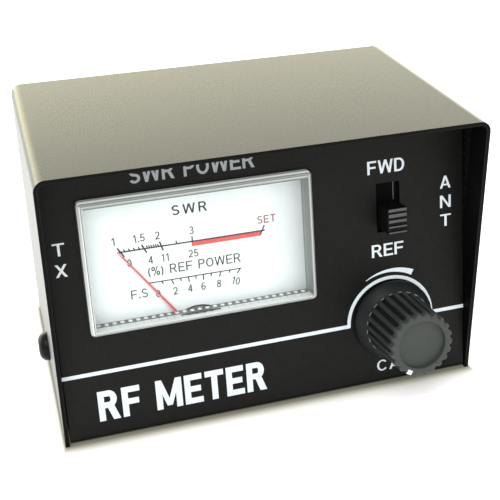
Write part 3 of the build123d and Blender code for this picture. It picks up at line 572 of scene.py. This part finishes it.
def print_text(shape, text, u, v, height, stem, width=None, gap=0.1, lean=0.0, base=0.0):
    """Sans lettering centred on (u, v); overlapping strokes get slightly different heights."""
    drawn, natural = set_type(text, stem, gap)
    stretch = width / natural if width else height
    c, s = math.cos(math.radians(lean)), math.sin(math.radians(lean))
    for i, stroke in enumerate(drawn):
        outline = []
        for px, py in stroke:
            x, y = (px - natural / 2) * stretch, (py - 0.5) * height
            outline.append((u + x * c - y * s, v + x * s + y * c))
        shape.prism(outline, base, base + INK_T + 0.002 * (i % 5))


def print_in(shape, text, u0, u1, v0, v1, stem, gap=0.1):
    """Sans lettering that fills a box on the panel."""
    print_text(shape, text, (u0 + u1) / 2, (v0 + v1) / 2, v1 - v0, stem, u1 - u0, gap)


# ---------------------------------------------------------------- panel print
def panel_print():
    """The panel's lettering, the line across it and the ring and sweep round the knob."""
    ink = Shape()
    ring = band(KNOB_U - 0.42, KNOB_V - 0.15, 10.72, 11.6, -1.0, 181.0)
    sweep = band(KNOB_U, KNOB_V, (12.85, 12.05), (13.0, 13.55), 121, 63)
    for quad in ring + sweep:
        ink.prism(quad, 0.0, INK_T)
    ink.prism(rect(-51.5, KNOB_U - 11.2, 15.95, 16.9), 0.0, INK_T + 0.004)
    ink.prism(rect(KNOB_U + 10.3, 51.2, 15.95, 16.9), 0.0, INK_T + 0.004)
    print_in(ink, "FWD", 26.0, 35.6, 54.7, 58.0, 0.17)
    print_in(ink, "REF", 26.5, 35.0, 33.5, 36.75, 0.17)
    print_in(ink, "CAL", 26.95, 36.2, 2.6, 5.65, 0.14, 0.16)
    print_in(ink, "RF METER", -43.8, -2.4, 3.9, 11.6, 0.225)
    for name, v0, v1 in (("T", 46.3, 49.3), ("X", 41.3, 44.3)):
        print_in(ink, name, -49.6, -46.9, v0, v1, 0.15)
    for name, v0, v1 in (("A", 48.6, 51.8), ("N", 43.6, 46.8), ("T", 38.8, 41.9)):
        print_in(ink, name, 45.0, 47.9, v0, v1, 0.15)
    ink.piece("panel_print", "case", "white_ink", [MATERIALS["white_ink"]], PANEL)
    # The top line's ink is darker, a painted shadow under the cover's front lip.
    shaded_ink = Shape()
    print_in(shaded_ink, "SWR POWER", -31.0, -1.8, 60.6, 64.4, 0.18)
    shaded_ink.piece("panel_top_print", "case", "white_ink", [INK_IN_PAINTED_SHADOW], PANEL)


def rear_print():
    """Connector legends above the rear sockets."""
    for name, text, x in (("tx", "TX", -SOCKET_X), ("ant", "ANT", SOCKET_X)):
        ink = Shape()
        half = 1.45 * len(text)
        print_in(ink, text, -half, half, 15.6, 19.0, 0.15)
        matrix = rear_matrix(x, SOCKET_Z)
        ink.piece(name + "_rear_print", "case", "white_ink", [MATERIALS["white_ink"]], matrix)


# ---------------------------------------------------------------- scale plate
def radial_tick(u, v, inner, outer, width=0.3):
    """A tick through (u, v) pointing away from the pointer's pivot."""
    away = Vector((u - PIVOT_U, v - PIVOT_V)).normalized()
    return line(u - away.x * inner, v - away.y * inner, u + away.x * outer, v + away.y * outer, width)


def scale_print():
    """The two scales, the red band and their numbers; heights are v on the panel."""
    top, bottom = 43.89, 35.26
    above, below, lowest = 46.63, 40.94, 32.3
    black = Shape()

    def draw(shape, outline):
        shape.prism(outline, PLATE_W, PLATE_W + INK_T)

    draw(black, rect(-34.94, 0.5, top - 0.17, top + 0.17))
    draw(black, line(-34.94, 45.0, -33.51, 42.67, 0.38))
    for u in (-28.74, -24.68):
        draw(black, radial_tick(u, top, 1.15, 1.2, 0.38))
    draw(black, line(0.5, 45.2, -0.71, 42.77, 0.32))
    draw(black, line(PIVOT_U, top, PIVOT_U, top + 1.25, 0.32))
    for i in range(4):
        draw(black, radial_tick(-33.2 + 1.15 * i, top, 0, 0.75))
    for i in range(6):
        draw(black, radial_tick(-27.9 + 0.52 * i, top, 0, 0.75))
    draw(black, radial_tick(-21.02, top, 0, 0.8))
    draw(black, rect(-28.44, -5.89, bottom - 0.13, bottom + 0.13))
    lower_ticks = (-25.39, -23.05, -20.92, -18.99, -17.17, -15.24, -13.31, -10.97, -8.64, -6.2)
    for i, u in enumerate(lower_ticks):
        draw(black, radial_tick(u, bottom, 1.35 if i % 2 else 0.8, 0))
    black.piece("scale_lines", "case", None, [SCALE_BLACK], PANEL)

    red = Shape()
    draw(red, [(-17.47, top - 1.22), (-0.71, top - 1.22), (-0.21, top - 0.11), (-17.47, top - 0.11)])
    red.piece("scale_red_band", "case", None, [SCALE_RED], PANEL)

    def legend(name, material, rows, stem, gap=0.14):
        shape = Shape()
        for text, u, v, height, width, lean in rows:
            print_text(shape, text, u, v, height, stem, width, gap, lean, PLATE_W)
        shape.piece(name, "case", None, [material], PANEL)

    legend("scale_title", SCALE_BLACK, [("SWR", -17.3, 52.06, 2.4, 8.43, 0)], 0.16, 0.3)
    legend("scale_set", SCALE_RUST, [("SET", 1.1, above, 1.9, 4.6, 0)], 0.15, 0.16)
    numbers = [("1", -35.7, above, 4), ("1.5", -29.76, above, 4)]
    numbers += [("2", -25.39, above, 2), ("3", PIVOT_U, above, 0)]
    numbers += [("0", -32.5, below, 0), ("4", -27.52, below, 0)]
    numbers += [("11", -24.07, below, 0), ("25", PIVOT_U, below, 0)]
    numbers += [("0", -26.51, lowest, 0), ("2", -22.34, lowest, 3), ("4", -18.79, lowest, 0)]
    numbers += [("6", -15.54, lowest, 0), ("8", -11.68, lowest, -6), ("10", -7.52, lowest, -18)]
    rows = [(text, u, v, 1.9, None, lean) for text, u, v, lean in numbers]
    rows += [("F.S", -30.92, 33.02, 2.25, 3.96, 0), ("(%) REF POWER", -17.2, 38.05, 2.3, 22.6, 0)]
    legend("scale_numbers", SCALE_GREY, rows, 0.14)


# ---------------------------------------------------------------- meter window
def lens_ring(w, top, left=None, bottom=None, right=None):
    """A rounded rectangle inside the window's outline, as one ring of points; insets per side."""
    left, bottom, right = (top if side is None else side for side in (left, bottom, right))
    u0, u1 = LENS_U0 + left, LENS_U1 - right
    v0, v1 = LENS_V0 + bottom, LENS_V1 - top
    r = max(LENS_CORNER - top, 0.12)
    ring = []
    corners = ((u1 - r, v1 - r), (u0 + r, v1 - r), (u0 + r, v0 + r), (u1 - r, v0 + r))
    for i, (cu, cv) in enumerate(corners):
        bend = arc(cu, cv, r, r, 90 * i, 90 * i + 90, LENS_CORNER_STEPS)
        ring += [(u, v, w) for u, v in bend]
    return ring


def lens_band(shape, ring_a, ring_b, tones):
    """A strip all round the window; tones, painted highlight and shade, are for its top, left, bottom and right.
    """
    per_side = LENS_CORNER_STEPS + 1
    for i in range(len(ring_a)):
        j = (i + 1) % len(ring_a)
        side = (i - per_side // 2) // per_side % 4
        shape.face([ring_a[i], ring_a[j], ring_b[j], ring_b[i]], tones[side])


def lens_rim():
    """The clear cover's moulded rim, from the panel to the front, toned with painted highlight, shade and glow."""
    top = LENS_PROUD
    rim = Shape()
    rings = [
        lens_ring(LENS_BACK + 1.0, 0), lens_ring(0.9, 0), lens_ring(top - LENS_BEVEL - 0.04, 0),
        lens_ring(top - LENS_BEVEL + 0.25, 0.25), lens_ring(top - 0.02, LENS_BEVEL - 0.04),
        lens_ring(top, LENS_BEVEL + 0.15, LENS_BEVEL + 0.2, LENS_BEVEL + 0.08, LENS_BEVEL + 0.2),
        lens_ring(top, 0.97, 0.97, 0.88, 0.97),
        lens_ring(top - 0.01, 1.24, LENS_WALL, LENS_WALL, LENS_WALL),
        lens_ring(top - 0.03, 1.5, 1.3, LENS_WALL, LENS_WALL),
        lens_ring(top - 0.05, 1.72, 1.32, LENS_WALL, LENS_WALL),
    ]
    tones = [
        (LIT_DIM, PALE, GREY, GREY), (LIT, WHITE, MID, MID), (LIT, WHITE, PALE, MID),
        (PALE, WHITE, PALE, PALE), (MID, WHITE, PALE, PALE), (GREY, DARK, MID, MID), (PALE, PALE, WHITE, MID),
        (MID, PALE, PALE, GREY), (DARK, PALE, PALE, DARK),
    ]
    for k, row in enumerate(tones):
        lens_band(rim, rings[k], rings[k + 1], row)
    rim.piece("lens_rim", "case", "clear_plastic", LENS_PAINTED_TONES, PANEL, 20)


def lens_inner_wall():
    """The inside of the clear cover's sides, from its front down to the scale plate, toned with painted
    highlight and shade.
    """
    wall = Shape()
    levels = ((LENS_PROUD - 0.07, 1.0), (0.15, 1.05), (-1.3, 1.1), (-2.6, 1.15), (PLATE_W + 0.04, 1.2))
    rings = [lens_ring(w, LENS_WALL, LENS_WALL, LENS_WALL, inset) for w, inset in levels]
    tones = [
        (MID, PALE, WHITE, DARK), (MID, PALE, WHITE, DARK), (MID, PALE, MID, GREY), (MID, PALE, MID, DARK),
    ]
    for k, row in enumerate(tones):
        lens_band(wall, rings[k], rings[k + 1], row)
    wall.piece("lens_inner_wall", "case", "clear_plastic", LENS_PAINTED_TONES, PANEL, 20)


def lens_front():
    """The clear front's two faces, and the flange behind the panel."""
    clear = Shape()
    clear.face(lens_ring(LENS_PROUD - 0.02, LENS_WALL))
    clear.face(lens_ring(LENS_PROUD - LENS_WALL, LENS_WALL)[::-1])
    front = clear.piece("lens_front", "case", "clear_plastic", [MATERIALS["clear_plastic"]], PANEL)
    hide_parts("meter_lens")
    flange = Shape()
    outer = rect(LENS_U0 - METER_MARGIN, LENS_U1 + METER_MARGIN, METER_V0, METER_V1)
    inner = rect(LENS_U0, LENS_U1, LENS_V0, LENS_V1)
    for i in range(4):
        j = (i + 1) % 4
        flange.prism([outer[i], outer[j], inner[j], inner[i]], LENS_BACK, LENS_BACK + 1.0)
    flange.piece("lens_flange", "case", "clear_plastic", [LENS_PAINTED_TONES[MID]], PANEL)


def lens_ribs():
    """A row of small domes along the lower inner wall, white as painted highlights, on a strip of painted
    shade, with faint ticks before it.
    """
    u0, u1 = LENS_U0 + LENS_WALL + 0.1, LENS_U1 - LENS_WALL - 0.3
    back, front = PLATE_W + 0.08, -0.9
    bed, domes = Shape(), Shape()
    bed.prism(rect(u0, u1, RIB_BASE - 0.04, RIB_BASE + 0.03), back, front)
    for i in range(int((u1 - u0) / RIB_PITCH)):
        u = u0 + RIB_PITCH * (i + 0.6)
        rings = []
        for size, lift in ((1.0, 0.0), (0.85, 0.1), (0.4, 0.16)):
            spots = arc(u, (back + front) / 2 - 0.1, 0.56 * size, 0.72 * size, 0, 324, 9)
            rings.append([(du, RIB_BASE + 0.03 + lift, dw) for du, dw in spots])
        domes.skin(rings)
        domes.face(rings[-1])
        domes.prism(rect(u + 0.85, u + 1.0, RIB_BASE, RIB_BASE + 0.05), -0.6, 0.55, 1)
    bed.piece("lens_rib_bed", "case", None, [RIB_SHADE], PANEL)
    domes.piece("lens_ribs", "case", None, [RIB_HIGHLIGHT, LENS_PAINTED_TONES[PALE]], PANEL, 60)


def lens_notch_reflection():
    """A dark wavy line before the domes, in front of the plate's notch: a painted reflection of the notch."""
    ripple = Shape()
    start, length, steps = PIVOT_U - 4.85, 9.7, 40
    v = RIB_BASE + 0.06
    for i in range(steps):
        edges = []
        for t in (i / steps, (i + 1) / steps):
            half = 0.62 * math.sin(math.pi * (0.06 + 0.88 * t)) ** 0.5
            drop = 0.3 * max(0.0, math.cos(2 * math.pi * length * t / RIB_PITCH))
            edges.append((start + length * t, -0.2 - half, half + drop - 0.2))
        (a, a0, a1), (b, b0, b1) = edges
        ripple.face([(a, v, a0), (b, v, b0), (b, v, b1), (a, v, a1)])
    ripple.piece("lens_notch_reflection", "case", None, [PAINTED_DARK_LINE], PANEL)


def notch_edge_shade():
    """Painted shade along the upper edge of the notch in the scale plate."""
    edge = Shape()
    for quad in band(PIVOT_U, PIVOT_V, NOTCH_R - 0.02, NOTCH_R + 0.28, 68, 112, 20):
        edge.prism(quad, PLATE_W, PLATE_W + 0.04)
    edge.piece("scale_notch_painted_shade", "case", None, [PAINTED_DARK_LINE], PANEL)


def movement_shield():
    """The pale cover over the movement, seen in the plate's notch."""
    shield = Shape()
    outline = arc(PIVOT_U, PIVOT_V, NOTCH_R - 0.3, NOTCH_R - 0.3, 20, 160, 24)
    shield.prism(outline, PLATE_W - 0.6, PLATE_W - 0.35)
    shield.piece("movement_shield", "case", "scale_white", [SHIELD], PANEL)


def pointer_painted_shade():
    """The darker flank of the needle along its right edge, a painted shade."""
    turn = math.radians(90 + NEEDLE_REST)
    along = Vector((math.cos(turn), math.sin(turn)))
    across = Vector((math.sin(turn), -math.cos(turn)))
    start, end = 8.0, NEEDLE_R - 1.5
    ridge = Shape()
    quad = []
    for r, side in ((start, 0.0), (start, 0.4), (end, 0.24), (end, 0.0)):
        spot = Vector((PIVOT_U, PIVOT_V)) + along * r + across * side
        quad.append((spot.x, spot.y))
    ridge.prism(quad, NEEDLE_W + 0.16, NEEDLE_W + 0.2)
    ridge.piece("pointer_painted_shade", "pointer", "pointer_red", [POINTER_SHADE], PANEL)


# ---------------------------------------------------------------- knob
def flute_depth(turn):
    """Depth of the grip's grooves at an angle from the index in degrees, their edges rounded."""
    pitch = 2 * math.pi * KNOB_R0 / FLUTES
    x = abs((turn / 360 * FLUTES) % 1.0 - 0.5) * pitch
    groove = math.sqrt(max(FLUTE_R**2 - x**2, 0.0)) - FLUTE_OUT
    crown = 0.5 * (max(0.0, x - FLUTE_R * 0.7) / (pitch / 2 - FLUTE_R * 0.7) - 1) ** 2 * 0.14
    return max(groove, crown)


def knob_ring(radius, w, fluted=0.0):
    """A ring round the knob's axis; fluted is the share of the grooves' depth that it shows."""
    ring = []
    for i in range(KNOB_STEPS):
        turn = 360 * i / KNOB_STEPS
        r = radius - fluted * flute_depth(turn)
        a = math.radians(turn + INDEX_ANGLE)
        ring.append((r * math.cos(a), r * math.sin(a), w))
    return ring


CAP_FACE = KNOB_TOP - CAP_T
CAP_R = KNOB_R0 - (KNOB_R0 - KNOB_R1) * (CAP_FACE - SKIRT_TOP) / (KNOB_TOP - SKIRT_TOP)


def knob_grip():
    """The knob's skirt and fluted grip; painted highlight makes the ridges paler and painted shade
    makes the grooves darker.
    """
    grip, fluted_rows = Shape(), (7, 8, 9)

    # Painted highlight on the ridges of the fluted rows, painted shade in their grooves.
    def finish(k, i):
        if k not in fluted_rows:
            return 0
        return 2 if flute_depth(360 * (i + 0.5) / KNOB_STEPS) > 0.3 else 1

    grip.skin([
        knob_ring(7.2, KNOB_GAP), knob_ring(SKIRT_R - 0.12, KNOB_GAP), knob_ring(SKIRT_R, KNOB_GAP + 0.12),
        knob_ring(SKIRT_R, KNOB_GAP + SKIRT_WALL - 0.08),
        knob_ring(SKIRT_R - 0.1, KNOB_GAP + SKIRT_WALL + 0.06),
        knob_ring(KNOB_R0 + 0.32, SKIRT_TOP - 0.08), knob_ring(KNOB_R0 + 0.2, SKIRT_TOP),
        knob_ring(KNOB_R0 + 0.02, SKIRT_TOP + 0.02, 1.0), knob_ring(KNOB_R0, SKIRT_TOP + 0.1, 1.0),
        knob_ring(CAP_R, CAP_FACE - 0.05, 1.0), knob_ring(CAP_R - 0.05, CAP_FACE, 1.0),
        knob_ring(3.0, CAP_FACE),
        knob_ring(3.0, 5.8), knob_ring(7.2, 5.8), knob_ring(7.2, KNOB_GAP),
    ], slots=finish)
    charcoal_and_painted_light = [MATERIALS["knob_charcoal"], KNOB_RIDGE_HIGHLIGHT, KNOB_GROOVE_SHADE]
    body = grip.piece("knob_grip", "knob", "knob_charcoal", charcoal_and_painted_light, KNOB, 40)
    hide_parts("knob_body")


def knob_ridge_foot_highlights():
    """Painted highlights on the foot of each ridge."""
    glints = Shape()
    for i in range(FLUTES):
        middle = INDEX_ANGLE + 360 * (i + 0.5) / FLUTES
        half = math.degrees(FLUTE_R * 0.75 / KNOB_R0)
        for quad in band(0, 0, KNOB_R0 - 0.06, KNOB_R0 + 0.16, middle - half, middle + half, 4):
            glints.prism(quad, SKIRT_TOP - 0.02, SKIRT_TOP + 0.05)
    glints.piece("knob_ridge_foot_highlights", "knob", "knob_grey", [RIDGE_FOOT_HIGHLIGHT], KNOB)


def knob_disc():
    """The grey cap, scalloped like the grip, with a shallow round recess."""
    cap = Shape()
    cap.skin([
        knob_ring(0.01, CAP_FACE + 0.01), knob_ring(CAP_R, CAP_FACE + 0.01, 1.0),
        knob_ring(KNOB_R1 + 0.02, KNOB_TOP - 0.4, 1.0), knob_ring(KNOB_R1 - 0.14, KNOB_TOP - 0.12, 0.97),
        knob_ring(KNOB_R1 - 0.5, KNOB_TOP, 0.8), knob_ring(RECESS_R + 0.22, KNOB_TOP),
        knob_ring(RECESS_R + 0.06, KNOB_TOP - 0.1), knob_ring(RECESS_R, KNOB_TOP - RECESS_DEPTH + 0.05),
        knob_ring(RECESS_R - 0.1, KNOB_TOP - RECESS_DEPTH), knob_ring(0.01, KNOB_TOP - RECESS_DEPTH),
    ])
    disc = cap.piece("knob_disc", "knob", "knob_grey", [MATERIALS["knob_grey"]], KNOB, 40)
    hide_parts("knob_cap")


def knob_mark():
    """The white index on the cap's rim and down its side."""
    mark = Shape()
    levels = (
        (6.65, KNOB_TOP), (KNOB_R1 - 0.48, KNOB_TOP), (KNOB_R1 - 0.1, KNOB_TOP - 0.12),
        (KNOB_R1 + 0.05, KNOB_TOP - 0.95),
    )
    half = 5.2
    for a0, a1 in ((INDEX_ANGLE - half, INDEX_ANGLE), (INDEX_ANGLE, INDEX_ANGLE + half)):
        spoke = [(math.cos(math.radians(a)), math.sin(math.radians(a))) for a in (a0, a1)]
        for (r0, w0), (r1, w1) in zip(levels, levels[1:]):
            corners = ((spoke[0], r0, w0), (spoke[0], r1, w1), (spoke[1], r1, w1), (spoke[1], r0, w0))
            mark.face([(x * r, y * r, w + 0.02) for (x, y), r, w in corners])
    paint = mark.piece("knob_mark", "knob", "white_ink", [MATERIALS["white_ink"]], KNOB)
    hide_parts("knob_index")


# ---------------------------------------------------------------- switch
def lever_ridge_highlights():
    """Painted highlights on the tops of the lever's ridges, between its four grooves."""
    ridges = Shape()
    reach, pitch = LEVER_H / 2 - 0.02, LEVER_H / 4.4
    for i, half in enumerate((0.16, 0.2, 0.34, 0.4, 0.4)):
        v = LEVER_V + (i - 2) * pitch
        v0, v1 = max(v - half, LEVER_V - reach), min(v + half, LEVER_V + reach)
        outline = rect(SLOT_U - LEVER_W / 2 + 0.18, SLOT_U + LEVER_W / 2 - 0.18, v0, v1)
        ridges.prism(outline, LEVER_PROUD, LEVER_PROUD + 0.02)
    ridges.piece("lever_ridge_highlights", "switch_slider", "switch_black", [LEVER_RIDGE_HIGHLIGHT], PANEL)


def switch_shutter():
    """The black dust cover that slides behind the slot with the lever, with a painted highlight on one edge."""
    sheet, edge = Shape(), Shape()
    sheet.prism(rect(SLOT_U - 3.7, SLOT_U + 3.7, LEVER_V - 10.4, LEVER_V + 10.4), -1.27, -1.1)
    edge.prism(rect(SLOT_U + 1.75, SLOT_U + 1.95, LEVER_V + 3.4, LEVER_V + 8.0), -1.1, -1.05)
    sheet.piece("switch_shutter", "switch_slider", "switch_black", [SHUTTER], PANEL)
    edge.piece("switch_shutter_painted_glint", "switch_slider", "switch_black", [SHUTTER_GLINT], PANEL)


# ---------------------------------------------------------------- cover
def cover_outline(inset, y):
    """The cover's cross section at one depth in its sheet, open at the bottom."""
    half, top = CASE_W / 2 - inset, CASE_H - inset
    bend = max(COVER_BEND - inset, 0.3)
    points = [(half, 0.0)] + arc(half - bend, top - bend, bend, bend, 0, 90, 10)
    points += arc(bend - half, top - bend, bend, bend, 90, 180, 10) + [(-half, 0.0)]
    return [(x, y, z) for x, z in points]


def cover_edges():
    """The sheet's cut edges at the front and rear, the burr inside them and a matt lining, a dark sheet
    inside each end that paints shade on the cover's inner walls.
    """
    low, high = (corner.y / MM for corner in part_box("top_cover"))
    for name, end, out in (("front", low, -1), ("rear", high, 1)):
        y = end + out * EDGE_LIFT
        burr = cover_outline(SHEET - 0.22, y)
        deep = cover_outline(SHEET + EDGE_LIFT, end - out * SHADE_LINING_DEPTH)
        edge = Shape()
        edge.strip(cover_outline(0.06, y), burr, 0)
        edge.strip(burr, cover_outline(SHEET, y), 1)
        # The lining: a dark matt sheet that paints shade on the inner walls near the end.
        edge.strip(cover_outline(SHEET + EDGE_LIFT, y), deep, 0)
        edge.piece("cover_edge_" + name, "case", "cover_paint", [CUT_EDGE_AND_SHADE, CUT_BURR], Matrix.Scale(MM, 4))


# ---------------------------------------------------------------- rear sockets
SOCKET_TURNS = [2 * math.pi * i / SOCKET_STEPS for i in range(SOCKET_STEPS)]


def socket_ring(radius, w):
    return [(radius * math.cos(a), radius * math.sin(a), w) for a in SOCKET_TURNS]


def flange_ring(inset, w):
    """The rounded square flange, sampled at the same angles as the barrel."""
    half, corner = FLANGE_SIDE / 2 - inset, FLANGE_CORNER - inset
    ring = []
    for a in SOCKET_TURNS:
        c, s = math.cos(a), math.sin(a)
        r = half / max(abs(c), abs(s))
        centre = half - corner
        if min(abs(c), abs(s)) * r > centre:
            along = (abs(c) + abs(s)) * centre
            r = along + math.sqrt(along**2 - 2 * centre**2 + corner**2)
        ring.append((r * c, r * s, w))
    return ring


def thread_ring(w, w0):
    """One level of the screw thread, shallower where it runs out."""
    fade = min(1.0, (w - w0) / 1.5)
    ring = []
    for a in SOCKET_TURNS:
        share = (w / THREAD_PITCH - a / (2 * math.pi)) % 1.0
        r = SOCKET_R - THREAD_DEPTH * fade * abs(2 * share - 1)
        ring.append((r * math.cos(a), r * math.sin(a), w))
    return ring


def notched(radius, w, depth):
    """The barrel's mouth, with four shallow notches for a plug's teeth."""
    ring = []
    for i, a in enumerate(SOCKET_TURNS):
        share = (4 * i / SOCKET_STEPS) % 1.0
        drop = depth * max(0.0, 1 - abs(share - 0.5) * 16)
        ring.append((radius * math.cos(a), radius * math.sin(a), w - drop))
    return ring


def rear_socket(label, x):
    """One socket's flange and threaded barrel, hollow to the bore."""
    face, end = FLANGE_T, FLANGE_T + SOCKET_LENGTH
    start = face + 1.2
    rise = THREAD_PITCH / THREAD_STEPS
    levels = int((SOCKET_LENGTH - 1.9) / rise)
    shell = Shape()
    rows = [
        socket_ring(SOCKET_BORE_R, 0), flange_ring(0, 0), flange_ring(0, face - 0.2), flange_ring(0.2, face),
        socket_ring(SOCKET_R + 0.3, face), socket_ring(SOCKET_R - 0.1, face + 0.2),
        socket_ring(SOCKET_R, start - 0.1),
    ]
    rows += [thread_ring(start + i * rise, start) for i in range(levels)]
    rows += [
        socket_ring(SOCKET_R - 0.5, end - 0.6), notched(SOCKET_R - 0.7, end, 0.8),
        notched(SOCKET_BORE_R + 0.25, end, 0.8), socket_ring(SOCKET_BORE_R, end - 0.25),
        socket_ring(SOCKET_BORE_R, 0),
    ]
    shell.skin(rows)
    matrix = rear_matrix(x, SOCKET_Z)
    made = shell.piece(label + "_threaded_shell", "case", "nickel", [MATERIALS["nickel"]], matrix, 50)
    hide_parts(label + "_socket_shell")


# ---------------------------------------------------------------- camera, floor and light
CAMERA_AT = (-58.904, 116.867, 207.144)
CAMERA_TURN = (64.0076, 1.0634, -16.5142)
TENT_FRONT = (1.15, 1.15, 1.15)
TENT_BACK = (5.7, 5.5, 3.9)
FLOOR_HALF = 4.0
# Shade on the floor round the case: its reach in mm, and (share of the reach, tone) pairs.
SHADE_REACH = 11.0
CONTACT_SHADE = ((0, 0.18), (0.08, 0.36), (0.16, 0.56), (0.24, 0.73), (0.4, 0.86), (0.7, 0.95))


def camera():
    """A camera placed in the panel's frame, with a slight vertical shift."""
    data = bpy.data.cameras.new("camera")
    data.lens = 69.318
    data.sensor_width = 36
    data.shift_y = -0.0994
    data.clip_start, data.clip_end = 0.01, 20
    made = bpy.data.objects.new("camera", data)
    made.location = PANEL @ Vector(CAMERA_AT)
    made.rotation_euler = [math.radians(a) for a in CAMERA_TURN]
    bpy.context.scene.collection.objects.link(made)
    bpy.context.scene.camera = made


def floor_white():
    """White paper, greyer close to the case as a painted contact shadow; narrowly so at its sides."""
    made, nodes, links, bsdf = shader("floor_white")
    low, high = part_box("top_cover")
    where = nodes.new("ShaderNodeTexCoord")
    axes = nodes.new("ShaderNodeSeparateXYZ")
    links.new(where.outputs["Object"], axes.inputs["Vector"])

    def math_node(operation, a, b):
        step = nodes.new("ShaderNodeMath")
        step.operation = operation
        for socket, value in zip(step.inputs, (a, b)):
            if isinstance(value, float):
                socket.default_value = value
            else:
                links.new(value, socket)
        return step.outputs["Value"]

    def beyond(axis, start, end):
        """How far a point is outside start..end along one axis."""
        offset = math_node("SUBTRACT", axes.outputs[axis], (start + end) / 2)
        return math_node("SUBTRACT", math_node("ABSOLUTE", offset, 0.0), (end - start) / 2)

    beside = math_node("MULTIPLY", beyond("X", low.x, high.x), 4.0)
    away = math_node("MAXIMUM", beside, beyond("Y", low.y, high.y))
    ramp = nodes.new("ShaderNodeValToRGB")
    links.new(math_node("DIVIDE", away, SHADE_REACH * MM), ramp.inputs["Fac"])
    stops = ramp.color_ramp.elements
    stops[1].position = 1.0
    for share, tone in CONTACT_SHADE:
        stop = stops[0] if share == 0 else stops.new(share)
        stop.color = (tone, 0.985 * tone, (0.72 + 0.28 * tone) * tone, 1)
    stops[-1].color = (1, 1, 1, 1)
    links.new(ramp.outputs["Color"], bsdf.inputs["Base Color"])
    links.new(ramp.outputs["Color"], bsdf.inputs["Emission Color"])
    bsdf.inputs["Roughness"].default_value = 0.9
    bsdf.inputs["Specular IOR Level"].default_value = 0.0
    bsdf.inputs["Emission Strength"].default_value = 0.35
    return made


def floor():
    mesh = bpy.data.meshes.new("floor")
    corners = rect(-FLOOR_HALF, FLOOR_HALF, -FLOOR_HALF, FLOOR_HALF)
    mesh.from_pydata([(x, y, 0) for x, y in corners], [], [(0, 1, 2, 3)])
    mesh.materials.append(floor_white())
    made = bpy.data.objects.new("floor", mesh)
    bpy.context.scene.collection.objects.link(made)


def softbox(name, place, target, side, power):
    """A square area light at place, aimed at target; metres and watts."""
    light = bpy.data.lights.new(name, "AREA")
    light.size = side
    light.energy = power
    made = bpy.data.objects.new(name, light)
    made.location = place
    made.rotation_euler = (Vector(target) - Vector(place)).to_track_quat("-Z", "Y").to_euler()
    bpy.context.scene.collection.objects.link(made)


def lighting():
    """A white tent, with a brighter warm backdrop low behind the object."""
    world = bpy.data.worlds.new("studio")
    world.use_nodes = True
    nodes, links = world.node_tree.nodes, world.node_tree.links
    where = nodes.new("ShaderNodeTexCoord")
    axes = nodes.new("ShaderNodeSeparateXYZ")
    links.new(where.outputs["Generated"], axes.inputs["Vector"])

    def ramp(output, start, end):
        step = nodes.new("ShaderNodeMapRange")
        step.interpolation_type = "SMOOTHSTEP"
        step.inputs["From Min"].default_value = start
        step.inputs["From Max"].default_value = end
        links.new(axes.outputs[output], step.inputs["Value"])
        return step.outputs["Result"]

    def both(a, b):
        product = nodes.new("ShaderNodeMath")
        product.operation = "MULTIPLY"
        links.new(a, product.inputs[0])
        links.new(b, product.inputs[1])
        return product.outputs["Value"]

    low_back = both(both(ramp("Y", 0.1, 0.6), ramp("Z", 0.6, 0.15)), ramp("X", 2.0, -1.0))
    tent = blended(nodes, links, low_back, TENT_FRONT, TENT_BACK)
    links.new(tent, nodes["Background"].inputs["Color"])
    bpy.context.scene.world = world
    softbox("key", (-0.3, -0.5, 0.9), (0, 0, 0.03), 0.7, 4.9)
    bpy.context.scene.view_settings.view_transform = "Standard"


panel_print()
rear_print()
scale_print()
lens_rim()
lens_inner_wall()
lens_front()
lens_ribs()
lens_notch_reflection()
notch_edge_shade()
movement_shield()
pointer_painted_shade()
knob_grip()
knob_ridge_foot_highlights()
knob_disc()
knob_mark()
lever_ridge_highlights()
switch_shutter()
cover_edges()
rear_socket("tx", -SOCKET_X)
rear_socket("ant", SOCKET_X)
camera()
floor()
lighting()
